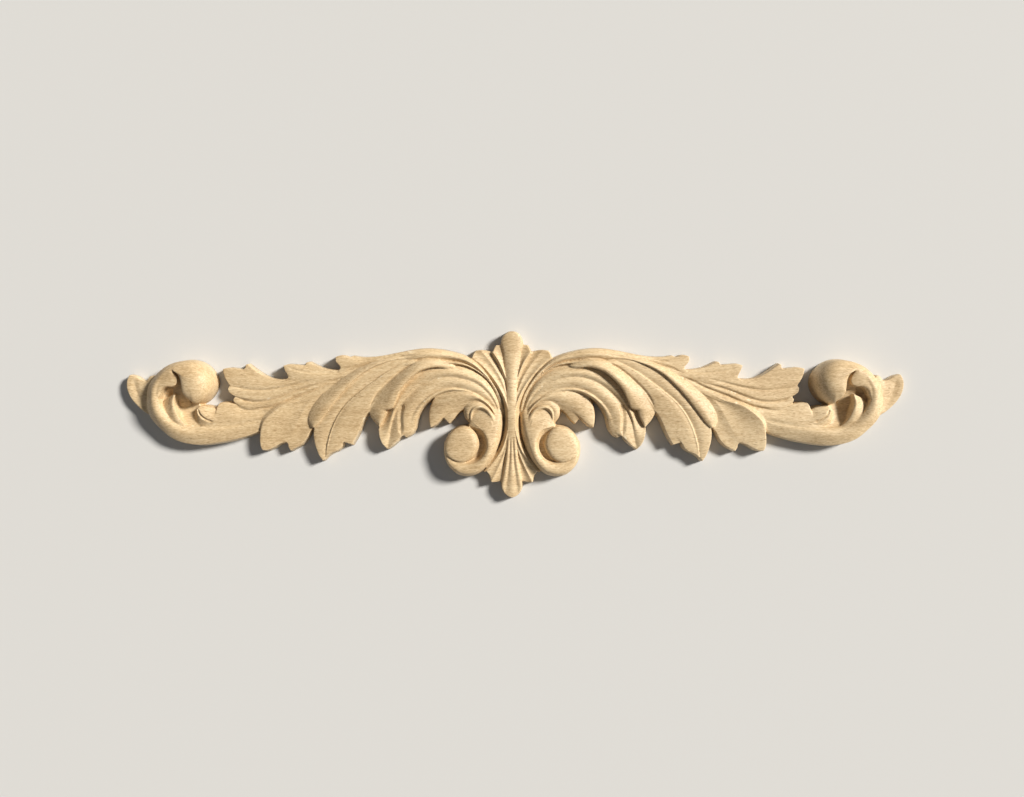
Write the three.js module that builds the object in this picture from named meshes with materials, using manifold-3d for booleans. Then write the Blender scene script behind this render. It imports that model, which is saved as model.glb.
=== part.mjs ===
// Carved leaf onlay: a long flat-backed wooden applique, cut from one board.
// A palmette stands in the middle. From it a scroll, a sweep of overlapping acanthus leaves
// and a stem with a rolled-over end run out to each side, the left half mirroring the right.
// It lies on its back: X runs along it, Y is up in its design, Z is out of the wood.
import * as THREE from 'three';
import { mergeVertices } from 'three/addons/utils/BufferGeometryUtils.js';
import Module from 'manifold-3d';

// Driving dimensions, in millimetres and degrees.
const ONLAY_LENGTH = 500; // from the tip of one outer leaf to the tip of the other
const ONLAY_HEIGHT = 107; // from the foot of the palmette to its top
const RELIEF_DEPTH = 20; // from the flat back to the top of the rolled ends
const WALL_DRAFT = 6; // lean of every cut wall, out towards the back
const WOOD_COLOUR = 0xc99f6f;

// The design is drawn on a grid whose unit is about 0.64 mm of the real onlay. It has
// U out from the middle, V up, and H above the back in hundredths of the relief depth.
const GRID_LENGTH = 778;
const GRID_HEIGHT = 166.6;
const SCALE_U = ONLAY_LENGTH / GRID_LENGTH;
const SCALE_V = ONLAY_HEIGHT / GRID_HEIGHT;
const SCALE_H = RELIEF_DEPTH / 100;
const UNDERCUT_H = 15; // how far the carved forms run below the back before it is sawn flat
const DRAFT_RATIO = Math.tan(THREE.MathUtils.degToRad(WALL_DRAFT));

// How finely a form is drawn, in grid units along it and in steps across it.
const ROW_STEP = 19;
const FEWEST_ROWS = 3;
const ROW_CROWDING = 1.25; // rows stand closer towards a leaf's end
const CORNER_ROOM = 0.07; // least space, across a finger, between a corner of its tip and another place
const DOME_RINGS = 4;
const DOME_AROUND = 18;

// How far, in grid units, the shape of a leaf's end works back into it, and how it fades.
const END_REACH = 26;
const END_FADE = 1.5;

// Where along a finger two ribs start to merge, and where they are one.
const RIB_FADE = [0.5, 0.9];

// Cross-sections of a leaf finger between its two edge lines, as rise against place across.
const flat = () => ({ at: [0, 1], rise: () => 0 });

const evenly = (steps) => Array.from({ length: steps + 1 }, (_, k) => k / steps);

const crown = (steps = 4) => ({ at: evenly(steps), rise: (s) => Math.sin(Math.PI * s) });

const crest = (peak) => ({
  at: peak < 0.5 ? [0, peak, (1 + peak) / 2, 1] : [0, peak / 2, peak, 1],
  rise: (s) => {
    const climb = s < peak ? s / peak : 1 + (s - peak) / (1 - peak);
    return Math.sin((Math.PI / 2) * climb);
  },
});

const ribs = (place) => ({
  at: [0, place / 2, place, (1 + place) / 2, 1],
  rise: (s) => Math.sin(Math.PI * (s < place ? s / place : (s - place) / (1 - place))),
});

// Two ribs that merge into one rounded finger before its end.
const fadingRibs = (place) => {
  const [start, end] = [ribs(place), crown()];
  return {
    at: start.at,
    rise: (s, t) => {
      const share = THREE.MathUtils.smoothstep(t, ...RIB_FADE);
      return THREE.MathUtils.lerp(start.rise(s), end.rise(s), share);
    },
  };
};

const flutes = (count) => ({
  at: evenly(2 * count),
  rise: (s) => Math.abs(Math.sin(count * Math.PI * s)),
});

// A smooth line through grid points of the form [u, v, h].
const vectors = (points) => points.map((p) => new THREE.Vector3(...p));
const line = (points) => new THREE.CatmullRomCurve3(vectors(points), false, 'centripetal');

// The same points, higher up, or lower with a negative rise.
const lifted = (points, rise) => points.map(([u, v, h]) => [u, v, h + rise]);

const mirrored = (points) => points.map(([u, ...rest]) => [-u, ...rest]);

// A value read from a short list that is spread evenly from 0 to 1.
const spread = (values, t) => {
  const place = t * (values.length - 1);
  const k = Math.min(Math.floor(place), values.length - 2);
  return values.length === 1 ? values[0] : THREE.MathUtils.lerp(values[k], values[k + 1], place - k);
};

// The outline of a leaf's end: smooth arcs that meet at corners, with the share of its
// length at which each arc starts and ends.
function tipOutline(arcs) {
  const curves = arcs.map((arc) => line(arc.map(([u, v]) => [u, v, 0])));
  const lengths = curves.map((curve) => curve.getLength());
  const whole = lengths.reduce((sum, length) => sum + length);
  const corners = lengths.reduce((ends, length) => [...ends, ends.at(-1) + length / whole], [0]);
  const pointAt = (share) => {
    const k = Math.max(0, corners.findLastIndex((corner, n) => corner <= share && n < curves.length));
    return curves[k].getPointAt(Math.min(1, (share - corners[k]) / (lengths[k] / whole)));
  };
  return { corners, pointAt };
}

// Places across a finger: the corners of its end, and the section's own where they are clear.
const placesAcross = (section, corners) => {
  const clear = section.at.filter((s) => corners.every((corner) => Math.abs(corner - s) > CORNER_ROOM));
  return [...corners, ...clear].sort((p, q) => p - q);
};

// A leaf finger as a grid of points: it spans from one edge line to another.
function fingerGrid({ from, to, tip, swell = [0], section = crown(), reach = END_REACH, rows }) {
  const [edgeA, edgeB] = [line(from), line(to)];
  const length = Math.max(edgeA.getLength(), edgeB.getLength());
  const rowCount = rows ?? Math.max(FEWEST_ROWS, Math.round(length / ROW_STEP));
  const outline = tip && tipOutline(tip);
  const places = placesAcross(section, outline ? outline.corners : [0, 1]);
  const end = edgeA.getPointAt(1);
  const endStep = edgeB.getPointAt(1).sub(end);
  const gridRow = (row) => {
    const t = 1 - (1 - row / rowCount) ** ROW_CROWDING;
    const [a, b] = [edgeA.getPointAt(t), edgeB.getPointAt(t)];
    const pull = Math.max(0, 1 - ((1 - t) * length) / reach) ** END_FADE;
    return places.map((s) => {
      const point = a.clone().lerp(b, s);
      const rise = spread(swell, t) * section.rise(s, t);
      if (outline) {
        const shift = outline.pointAt(s).sub(end).addScaledVector(endStep, -s).setZ(0);
        point.addScaledVector(shift, pull);
      }
      return point.setZ(point.z + rise);
    });
  };
  return Array.from({ length: rowCount + 1 }, (_, row) => gridRow(row));
}

// Around the grid's rim, in order, as [row, column].
function rimOf(grid) {
  const [lastRow, lastColumn] = [grid.length - 1, grid[0].length - 1];
  const rim = [];
  for (let c = 0; c < lastColumn; c += 1) rim.push([0, c]);
  for (let r = 0; r < lastRow; r += 1) rim.push([r, lastColumn]);
  for (let c = lastColumn; c > 0; c -= 1) rim.push([lastRow, c]);
  for (let r = lastRow; r > 0; r -= 1) rim.push([r, 0]);
  return rim;
}

// A grid of points becomes a closed block: the carved top, leaning walls and a flat underside.
function blockFromGrid(grid, side) {
  const columns = grid[0].length;
  const count = grid.length * columns;
  const top = grid.flat().map((p) => new THREE.Vector3(side * p.x * SCALE_U, p.y * SCALE_V, p.z * SCALE_H));
  const floor = -UNDERCUT_H * SCALE_H;
  const base = top.map((p) => new THREE.Vector3(p.x, p.y, floor));
  const rim = rimOf(grid).map(([r, c]) => r * columns + c);
  let turn = 0;
  rim.forEach((id, k) => {
    const next = top[rim[(k + 1) % rim.length]];
    turn += top[id].x * next.y - next.x * top[id].y;
  });
  const outward = Math.sign(turn);
  rim.forEach((id, k) => {
    const before = top[rim[(k + rim.length - 1) % rim.length]];
    const after = top[rim[(k + 1) % rim.length]];
    const along = new THREE.Vector2(after.x - before.x, after.y - before.y).normalize();
    const lean = DRAFT_RATIO * (top[id].z - floor) * outward;
    base[id].x += along.y * lean;
    base[id].y -= along.x * lean;
  });
  const faces = [];
  const face = (a, b, c) => faces.push(...(outward > 0 ? [a, b, c] : [a, c, b]));
  for (let r = 0; r < grid.length - 1; r += 1) {
    for (let c = 0; c < columns - 1; c += 1) {
      const id = r * columns + c;
      face(id, id + 1, id + columns);
      face(id + 1, id + columns + 1, id + columns);
      face(count + id, count + id + columns, count + id + 1);
      face(count + id + 1, count + id + columns, count + id + columns + 1);
    }
  }
  rim.forEach((id, k) => {
    const next = rim[(k + 1) % rim.length];
    face(id, count + id, count + next);
    face(id, count + next, next);
  });
  return indexedGeometry([...top, ...base], faces);
}

function indexedGeometry(points, faces) {
  const geometry = new THREE.BufferGeometry();
  geometry.setAttribute('position', new THREE.Float32BufferAttribute(points.flatMap((p) => p.toArray()), 3));
  geometry.setIndex(faces);
  return geometry;
}

// A round boss or a ball: rings that shrink from its outline to its middle.
function blockFromDome({ outline, middle, top, power }, side) {
  const rim = new THREE.CatmullRomCurve3(vectors(outline), true, 'centripetal');
  const points = [];
  const faces = [];
  const floor = -UNDERCUT_H * SCALE_H;
  const centre = new THREE.Vector3(...middle, 0);
  const onOnlay = (u, v, h) => new THREE.Vector3(side * u * SCALE_U, v * SCALE_V, h * SCALE_H);
  const ringPoint = (share, k) => {
    const edge = rim.getPointAt(k / DOME_AROUND);
    const climb = (1 - share ** power) ** (1 / power);
    const place = edge.clone().lerp(centre, 1 - share);
    return onOnlay(place.x, place.y, THREE.MathUtils.lerp(edge.z, top, climb));
  };
  for (let ring = 0; ring < DOME_RINGS; ring += 1) {
    const share = Math.cos(((Math.PI / 2) * ring) / DOME_RINGS);
    for (let k = 0; k < DOME_AROUND; k += 1) points.push(ringPoint(share, k));
  }
  const peak = points.push(onOnlay(...middle, top)) - 1;
  const under = points.push(points[peak].clone().setZ(floor)) - 1;
  const base = points.length;
  for (let k = 0; k < DOME_AROUND; k += 1) {
    const p = points[k];
    const away = p.clone().sub(points[peak]).setZ(0).normalize();
    points.push(p.clone().addScaledVector(away, DRAFT_RATIO * (p.z - floor)).setZ(floor));
  }
  const face = (a, b, c) => faces.push(...(side * turnOf(rim) > 0 ? [a, b, c] : [a, c, b]));
  for (let k = 0; k < DOME_AROUND; k += 1) {
    const next = (k + 1) % DOME_AROUND;
    for (let ring = 0; ring < DOME_RINGS - 1; ring += 1) {
      const [low, high] = [ring * DOME_AROUND, (ring + 1) * DOME_AROUND];
      face(low + k, low + next, high + k);
      face(low + next, high + next, high + k);
    }
    const lastRing = (DOME_RINGS - 1) * DOME_AROUND;
    face(lastRing + k, lastRing + next, peak);
    face(base + k, base + next, k);
    face(base + next, next, k);
    face(base + next, base + k, under);
  }
  return indexedGeometry(points, faces);
}

// The sign of the way that a closed line turns.
function turnOf(rim) {
  const points = rim.getPoints(24);
  return points.reduce((sum, p, k) => {
    const q = points[(k + 1) % points.length];
    return sum + p.x * q.y - q.x * p.y;
  }, 0);
}

// The palmette in the middle. Its forms cross the middle line, so one edge mirrors the other.
const middleForm = ({ edge, halfTip, ...more }) => ({
  from: mirrored(edge),
  to: edge,
  tip: halfTip && [[...mirrored(halfTip), ...halfTip.toReversed().slice(1)]],
  ...more,
});

const PALMETTE = [
  { edge: [[14, 22, 24], [11, 0, 24], [13, -25, 24], [20, -42, 24]], section: flat() },
  {
    edge: [[3.4, -8, 54], [4, 12, 52], [5, 30, 46.5], [6.5, 45, 42], [8.6, 60, 38], [10.4, 68.2, 36]],
    halfTip: [[10.4, 68.2], [9.9, 73.6], [7.4, 78.8], [3.6, 81.7], [0, 82.4]],
    swell: [2, 4, 6, 7],
    section: crown(8),
  },
  {
    edge: [[4.4, 24, 46], [4.3, 8, 55.5], [4, -7, 57.5], [4.5, -22, 52.5], [5, -32, 45]],
    swell: [2],
  },
  {
    edge: [
      [3.4, -8, 54], [3.9, -20, 52], [4.8, -32, 47], [6.4, -46, 42], [8.6, -60, 38], [9.9, -66.5, 36.5],
    ],
    halfTip: [[9.9, -66.5], [9.6, -73], [7.2, -79], [3.4, -82.3], [0, -83.2]],
    swell: [1, 3, 4, 4, 3],
    section: flutes(3),
  },
].map(middleForm);

// Lines that neighbouring forms share.
const RIM_TOP = [
  [3.2, -6, 58], [3.5, 2, 58], [6, 13, 56], [11.5, 25, 52], [19.8, 37.5, 48], [30, 49, 44],
  [39.4, 56.2, 41],
];
const RIM_BOTTOM = [
  [3.2, -6, 58], [3.6, -13, 57.5], [5.4, -23, 55], [9.5, -35, 50], [16, -45.5, 45.5], [25.2, -57, 41],
];
const RIB_CREASE = [
  [10, 0, 32], [11.6, 8, 36], [17, 23, 37], [26, 36, 40], [40, 45.3, 43], [51, 48.6, 46],
  [62, 49.3, 49],
];
const VALLEY = [
  [13, -2, 33], [15.6, 8, 43], [22, 19, 48], [34, 29.8, 53], [48, 35.2, 57], [62, 37.2, 58.5],
  [74, 35.8, 57.5], [85, 31.5, 55], [95, 24.8, 52], [104, 16.5, 49], [112, 7.5, 46], [117.8, -2.5, 43],
  [120.8, -14, 40], [122.6, -25, 38], [124.7, -35.1, 36],
];
const STEP_LINE = [
  [55.6, 47.6, 48], [59, 46, 57], [65, 45.8, 64], [76, 46.8, 72], [90, 43.4, 79], [101, 35.4, 79],
  [110, 25, 74], [115, 14.5, 67], [118.6, 6.6, 61], [122, 4.8, 59], [125.2, 4, 57], [126.8, -1.4, 54],
  [129.4, -7, 51], [132.4, -12.8, 46],
];
const FOLD_GROOVE = [
  [56.4, 49, 48], [60, 50.6, 56], [67, 52.8, 60], [78, 55.6, 62], [90, 54.4, 62], [100, 49.4, 60],
  [112, 41.6, 57], [122.6, 32.4, 55], [132, 23, 53], [138.4, 13.6, 50], [142.4, 5, 47],
  [141.6, -0.6, 45], [138, -7, 43], [132.4, -13.4, 41],
];
const LEAF_GROOVE = [
  [96, 58, 60], [112, 55, 58], [127, 51.4, 56], [140, 46, 55], [152, 38.4, 54], [164.4, 26.6, 52],
  [176, 13.6, 50], [185, 2, 47], [192.5, -8, 44], [197.6, -13.6, 42],
];
const GREAT_VEIN = [
  [92, 57.5, 57], [108, 50.6, 58.5], [124, 41.6, 58], [139.5, 30.9, 56], [151.9, 21.5, 54],
  [164.3, 10.7, 51], [173.6, -1.7, 48], [179.8, -14.2, 44.5], [184.5, -29.7, 41], [186.6, -43.2, 38],
];
const END_CREASE_TOP = [
  [166, 39.8, 44], [193, 36, 43.5], [213.6, 30.8, 42.5], [231.6, 26.4, 41.5], [249.6, 24, 40.5],
  [267.6, 25.2, 39], [283.6, 28.5, 37],
];
const END_CREASE_MIDDLE = [
  [166, 38.8, 44], [192, 31.2, 44], [214, 24.5, 43], [235.2, 16.5, 42], [252, 12.4, 40.5],
  [266, 13.3, 39], [278.4, 17.5, 37],
];
const LOW_RIDGE = [
  [178, 30, 43], [192, 20.6, 44.5], [203, 11.6, 45.5], [211, -1, 45], [218.6, -14.6, 42.5],
  [226.8, -28.1, 38.5],
];
const LOW_EDGE = [
  [182, 30, 44], [198, 19.6, 47], [213, 13, 51], [228, 8.6, 55], [240, 0.6, 56], [248, -7.4, 53],
  [251.8, -16.5, 47],
];

// The forms of the right half, each between two edge lines.
const FORMS = {
  innerPetal: {
    from: [[3, 28, 38], [4.5, 40, 40], [6, 52, 37.5], [8.6, 67.6, 33]],
    to: [[4.6, 30, 42], [7.4, 40.5, 47], [12, 51.5, 47.5], [16, 57.6, 45], [19, 61.4, 42]],
    tip: [[[8.6, 67.6], [12.6, 69], [15.8, 68.8]], [[15.8, 68.8], [17.6, 65.2], [19, 61.4]]],
    swell: [0, -4, -5],
  },
  innerPetalBevel: {
    from: [[4.6, 30, 42], [7.4, 40.5, 47], [12, 51.5, 47.5], [16, 57.6, 45], [19, 61.4, 42]],
    to: [[5.4, 28, 36], [9.2, 40, 40], [14.2, 51, 39], [18, 57.5, 36], [20.2, 61.6, 32]],
    section: flat(),
  },
  outerPetal: {
    from: [[2.4, 8, 44], [3.6, 24, 42], [6.4, 40, 39.5], [11.8, 52, 35.5], [18.6, 61.6, 31]],
    to: RIM_TOP,
    tip: [
      [[18.6, 61.6], [24, 63.2], [30, 63.8], [36.4, 63.2]], [[36.4, 63.2], [38.2, 60], [39.4, 56.2]],
    ],
    swell: [0, -3.5, -4.5, -4],
    section: flutes(2),
  },
  rimBevelTop: {
    from: RIM_TOP,
    to: [
      [7, -6, 34], [7.3, 3, 34], [10, 13.5, 34], [15.4, 25, 35], [23.2, 36.8, 36], [33, 48.4, 37],
      [41, 55.6, 37],
    ],
    section: flat(),
  },
  lowerLeaf: {
    from: [[2.6, -12, 44], [3.3, -28, 42], [5, -44, 39], [8.6, -66.3, 34.5]],
    to: RIM_BOTTOM,
    tip: [[[8.6, -66.3], [15, -67.8], [20.4, -68.3]], [[20.4, -68.3], [22, -62], [25.2, -57]]],
    swell: [0, -3, -4.5, -4],
    section: flutes(2),
  },
  rimBevelBottom: {
    from: RIM_BOTTOM,
    to: [[7, -6, 34], [7.4, -14, 34], [9.4, -25, 34], [13.6, -36, 35], [20, -46, 36], [28, -58, 38]],
    section: flat(),
  },
  scrollStem: {
    from: [
      [12, 10, 28], [9.2, 0, 38], [9.4, -12, 42], [11.6, -25, 43], [16.8, -39, 44], [24, -50.5, 45],
      [33, -58.6, 45], [43, -61.7, 45], [53.5, -60, 45], [61.6, -53.4, 45], [66, -45.4, 45],
      [67.6, -37, 45], [67, -28, 44],
    ],
    to: [
      [21, 11, 30], [27, 0, 49], [31, -10, 57], [29, -16, 60], [25.6, -22, 62], [24.2, -30, 63],
      [26, -38, 63], [31, -45.5, 63], [38, -49.4, 62], [46, -50.5, 60], [54, -48.5, 57],
      [59.6, -43, 53], [61.5, -36, 51], [61, -28, 48],
    ],
    swell: [6, 13, 15, 15, 14, 13, 12, 9, 3],
    section: crest(0.24),
    rows: 11,
  },
  scrollGroove: {
    from: [
      [39, -8, 48], [35.6, -10.6, 56], [30.6, -14.6, 60], [26.4, -20.5, 62.4], [24.2, -29, 63],
      [25.6, -37, 63], [30, -44.5, 63], [37, -49, 62], [46, -50.5, 60], [54, -48.5, 56.5],
    ],
    to: [
      [43, -12.4, 46], [38.4, -14.8, 43], [33.6, -17.6, 40], [29.6, -22.6, 37], [27.8, -29.5, 36],
      [28.8, -36.8, 37], [32.4, -42.8, 40], [38, -46.6, 46], [45, -48.2, 53], [52, -47, 56],
    ],
    section: flat(),
    rows: 8,
  },
  scrollFloor: {
    from: [[38, -8, 44], [30, -18, 37], [26, -30, 35.5], [30, -42, 37], [41, -50, 44], [55, -50.5, 48]],
    to: [[47, -16, 44], [38, -24, 37], [36, -30, 35.5], [40, -39, 37], [48, -43, 44], [57, -41, 48]],
    section: flat(),
  },
  hookRidge: {
    from: [
      [14, -12, 52], [16.8, -4, 55], [21.4, 3.6, 57], [27.4, 8, 57], [34, 8.8, 56], [39.4, 6, 53],
      [42, 0.4, 49], [42, -6.6, 43],
    ],
    to: [
      [21, -11, 56], [21.6, -4, 54], [25, 1.8, 54], [30, 4.8, 54], [35, 4.4, 53], [38.4, 1.2, 50],
      [39.6, -5.6, 44],
    ],
    swell: [2, 5, 6, 6, 4],
    rows: 6,
  },
  eyeFloor: {
    from: [[19, -11, 61], [22.6, 0, 55], [30, 5, 51], [38, 2.4, 47], [41, -6, 43]],
    to: [[24, -18, 61], [30, -15.6, 59.5], [35, -14, 56], [39, -13, 51], [43, -11, 45]],
    section: flat(),
  },
  hookLobe: {
    from: [
      [16, 4, 40], [25.4, 12, 45], [34, 14.2, 48], [41, 12.8, 49], [46, 8.6, 47], [47.8, 2.4, 44],
      [46.6, -3.2, 41], [43.4, -7.6, 38],
    ],
    to: [
      [20, -1, 46], [26.6, 6.6, 49], [33.6, 7.2, 50], [38.2, 4.8, 49], [40.6, 0.8, 46], [41, -4, 43],
      [41.6, -8, 38],
    ],
    swell: [2, 4, 6, 6, 2],
    section: crest(0.6),
    rows: 5,
  },
  innerLeaf: {
    from: [
      [14, 2, 42], [26, 14.4, 46], [39, 22, 48], [53.4, 25.4, 48], [67, 23, 46], [77.4, 15.4, 43],
      [81.4, 7.6, 40],
    ],
    to: [
      [15.6, -6, 47], [20, 5, 51], [30, 12, 50], [39, 11.6, 47], [47, 6, 43], [53.6, 1, 40],
      [58.2, -4.6, 38], [62.8, -9.5, 36],
    ],
    tip: [
      [[81.4, 7.6], [82.4, 1], [82.3, -6], [81, -13.3]],
      [[81, -13.3], [76, -10.8], [71.6, -7], [68.2, -3.3]], [[68.2, -3.3], [65.6, -6.2], [62.8, -9.5]],
    ],
    swell: [5, 9, 12, 12, 8],
    section: crest(0.5),
    reach: 20,
  },
  secondFinger: {
    from: VALLEY,
    to: [
      [15, -5, 33], [18, 4, 42], [27, 12.6, 47], [40, 20, 50], [56, 23, 52], [67, 21.8, 54],
      [76, 18, 55], [83.6, 12.6, 53], [89.6, 6, 50], [93.4, -0.8, 47], [95.4, -8, 44],
      [97, -14.8, 41.5], [100.6, -20.3, 39.5], [105.8, -23.4, 38],
    ],
    tip: [
      [[124.7, -35.1], [119, -31], [113.6, -25.6], [110.6, -20.2]],
      [[110.6, -20.2], [108.6, -21.4], [105.8, -23.4]],
    ],
    swell: [1, 3, 5, 6, 8, 9, 6],
    section: fadingRibs(0.78),
    reach: 16,
  },
  thirdFinger: {
    from: [
      ...RIB_CREASE, [78, 47.6, 52], [91, 42.6, 51], [101.6, 34.6, 50], [110.6, 24.4, 48],
      [115.6, 14, 46], [119.4, 7, 43], [124.6, 3, 35], [128.4, -3, 32], [131.4, -9, 34],
      [133.4, -14.4, 39],
    ],
    to: VALLEY,
    tip: [[[133.4, -14.4], [132.8, -21], [129.6, -29.6], [124.7, -35.1]]],
    swell: [3, 8, 10, 9, 8, 8, 6],
    section: crest(0.62),
    reach: 18,
  },
  crownRib: {
    from: [
      [7.6, -3, 28], [8.6, 6, 36], [12, 19, 37], [20.5, 33.5, 40], [30, 45.6, 43], [39.5, 54, 45],
      [48, 58.4, 46], [60, 62, 47], [73, 64.4, 48], [86, 65, 49], [100, 63.6, 49], [122, 59.2, 47],
    ],
    to: [...RIB_CREASE, [80, 50, 62], [98, 48, 58], [116, 44, 50]],
    swell: [2, 9, 13, 15, 13, 10, 4],
    section: ribs(0.68),
    rows: 7,
  },
  turnedFold: {
    from: STEP_LINE,
    to: FOLD_GROOVE,
    swell: [3, 5, 6, 7, 7, 6, 3],
    section: crest(0.33),
  },
  greatLeafLeft: {
    from: [
      [84, 56, 55], [98, 49, 58.5], [110, 41.4, 59], [120, 33, 58], [129, 24, 57], [135.6, 14.6, 54],
      [141, 4.8, 50], [146.2, -2, 47.5], [149.8, -8.6, 45], [152.8, -16, 43], [156, -22.6, 41],
      [160.6, -30.6, 39],
    ],
    to: GREAT_VEIN,
    tip: [
      [[160.6, -30.6], [163.4, -29.6], [169.3, -27.6]],
      [[169.3, -27.6], [171, -32.6], [175.2, -36.6], [181.4, -39.2], [186.6, -43.2]],
    ],
    swell: [0, 1.5, 3, 4, 4, 3, 1],
    section: crest(0.75),
    reach: 18,
  },
  greatLeafRight: {
    from: lifted(GREAT_VEIN, -3),
    to: [...LEAF_GROOVE, [198.6, -22, 41], [196.9, -32, 39.5], [193.6, -41, 38], [189.9, -46.7, 37]],
    tip: [[[186.6, -43.2], [188.2, -45.2], [189.9, -46.7]]],
    swell: [0, 2, 3, 4, 4, 3, 1],
    section: crest(0.45),
  },
  longFold: {
    from: [
      [96, 58, 56], [112, 55, 60], [127, 51.4, 63], [140, 46, 64], [152, 38.4, 63.5], [164.4, 26.6, 61],
      [176, 13.6, 58.5], [185, 2, 55], [192.5, -8, 51], [197.6, -13.6, 46],
    ],
    to: [
      [96, 60.4, 56], [118, 57, 54], [134, 53.4, 51.5], [146, 49, 50], [161, 40.8, 48.5],
      [175.2, 31, 47], [187.6, 20.8, 46], [196.9, 10.7, 45], [202.4, 0.6, 44], [203.9, -6.4, 43],
      [201.6, -12.6, 42],
    ],
    swell: [0, 1, 3, 5, 6, 6, 4],
    section: crest(0.35),
  },
  topLeaf: {
    from: [
      [80, 64.9, 47], [96, 64.2, 47.5], [112, 61.4, 46], [130, 58, 43], [140, 56.9, 40.5],
      [151.9, 56.9, 38.5], [159.6, 58.2, 37],
    ],
    to: [
      [80, 60, 54], [100, 58.6, 54], [120, 54.8, 50], [135, 51.4, 48], [148, 47, 46.5], [160, 41.8, 45],
      [170, 39.6, 43],
    ],
    tip: [
      [[159.6, 58.2], [161.8, 57.4], [163.5, 56.3]],
      [[163.5, 56.3], [167.4, 58], [172, 58.5], [176.6, 57.4]],
      [[176.6, 57.4], [176.2, 52.6], [172, 48]], [[172, 48], [171.6, 45.6], [174.4, 42.5], [170, 39.6]],
    ],
    swell: [2, 2, 3, 3],
    section: crest(0.6),
    reach: 22,
  },
  upperLeaf: {
    from: [
      [140, 47, 44], [160, 45.6, 42], [172, 44, 40.5], [182, 44.4, 39.5], [192, 46.7, 38.5],
      [203.4, 52, 37],
    ],
    to: [
      [146, 41, 44], [165, 36.8, 45], [185, 33, 44.5], [205, 30.4, 43.5], [222, 32.8, 42],
      [227, 34.9, 41],
    ],
    tip: [
      [[203.4, 52], [206.3, 51.7], [207.5, 48.6]],
      [[207.5, 48.6], [217, 49.2], [224, 49.6], [229.3, 48.6]],
      [[229.3, 48.6], [227.4, 43.6], [224.4, 38.2]], [[224.4, 38.2], [224.6, 36], [227, 34.9]],
    ],
    swell: [0, 2, 4, 4],
    reach: 24,
  },
  endLeafTop: {
    from: [
      [170, 40, 42], [195, 38.4, 42], [214, 36, 41], [227, 34.9, 40], [236, 34.6, 39], [244, 36.2, 38],
      [254, 41.4, 37], [266, 50, 36],
    ],
    to: END_CREASE_TOP,
    tip: [
      [[266, 50], [267.8, 49.6], [268, 46.4], [270.4, 44.6]],
      [[270.4, 44.6], [277.3, 45.6], [284.5, 46.2], [290.6, 45.4]],
      [[290.6, 45.4], [290, 41], [287.6, 35], [283.6, 28.5]],
    ],
    swell: [0, 1, 2, 2, 2],
    section: crest(0.6),
    reach: 26,
  },
  endLeafMiddle: {
    from: END_CREASE_TOP,
    to: END_CREASE_MIDDLE,
    tip: [[[283.6, 28.5], [285.4, 25.5], [284.6, 22]], [[284.6, 22], [281.4, 19.4], [278.4, 17.5]]],
    swell: [0, 1, 1.5, 2, 2],
    section: crest(0.7),
    reach: 12,
  },
  endLeafLow: {
    from: lifted(END_CREASE_MIDDLE, -1),
    to: [
      [166, 37.8, 43], [192, 26.6, 44], [213.6, 18.4, 43], [237.6, 8.4, 42], [252, 6, 41],
      [264, 4.6, 40], [272, 6.4, 38.5], [278.6, 11, 36.5],
    ],
    tip: [[[278.4, 17.5], [280, 14.2], [278.6, 11]]],
    swell: [0, 1.5, 2, 2.5, 3],
    section: crest(0.7),
    reach: 8,
  },
  stemRib: {
    from: [
      [160, 41, 40], [176, 34.6, 41], [192, 26.9, 42], [213.6, 18.7, 41.5], [237.6, 8.6, 40],
      [252, 5.6, 37], [262, 3, 35],
    ],
    to: [
      [160, 38, 44], [178, 27, 45], [192, 19.4, 46], [206, 13, 46.5], [220, 8.6, 46], [236, 3.4, 44],
      [250, -2, 42], [262, -6, 38],
    ],
    swell: [0, 1.5, 2, 2, 1],
    section: crest(0.5),
  },
  lowLeafLeft: {
    from: [
      [180, 20, 38], [190, 6, 39], [197.6, -10, 40], [202.7, -17.7, 39], [206.3, -24.3, 38],
      [211.2, -30.4, 37], [217.2, -34.2, 36], [222.2, -36.9, 35],
    ],
    to: LOW_RIDGE,
    tip: [[[222.2, -36.9], [224.4, -33.4], [225, -30], [226.8, -28.1]]],
    swell: [0, -1, -2, -2, -1],
    reach: 12,
  },
  lowLeafRight: {
    from: LOW_RIDGE,
    to: LOW_EDGE,
    tip: [
      [[226.8, -28.1], [232.8, -29.9], [238.8, -33.4], [244.8, -35.9], [250.4, -36.4]],
      [[250.4, -36.4], [252.2, -31], [252.4, -24], [251.8, -16.5]],
    ],
    swell: [0, -2, -4, -5, -4, -1],
    reach: 20,
  },
  lowLeafBevel: {
    from: [[213, 13, 50], [228, 8.6, 54.5], [240, 0.6, 55.5], [248, -7.4, 52.5], [251.6, -14.5, 47]],
    to: [[215, 15, 44], [230, 11.4, 45], [243, 3, 45], [251, -5.6, 44], [253.2, -14, 42]],
    section: flat(),
  },
  stem: {
    from: [
      [226, 12, 34], [240, 7.4, 37], [252, 4.6, 38], [264, 0, 41], [278, -5, 45], [292, -9, 49.5],
      [306, -12, 51], [318, -13, 50.5], [328, -10.6, 50], [338.4, -5.6, 53], [346.6, 2, 61],
      [351.6, 11, 68], [352.6, 20, 73], [350, 29, 77.5], [345, 36, 81], [339, 41, 84], [332, 44.4, 86],
      [323, 45.4, 84],
    ],
    to: [
      [222, 0, 34], [238, -9, 37], [251.4, -16.5, 38.5], [263, -21.3, 39], [277.5, -25.4, 40],
      [289, -27.9, 41], [301, -29.7, 43], [314, -30.7, 45], [328, -29.2, 46], [341, -24.2, 47],
      [352, -15.4, 47], [361.6, -5, 47], [366, 6, 48], [366.4, 17, 48], [364, 29.5, 49], [357, 39, 50],
      [348.6, 46.4, 52], [339, 51, 54], [329, 53.2, 54], [323, 53.4, 52],
    ],
    swell: [3, 6, 8, 9, 11, 13, 14, 13, 12, 8],
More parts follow.
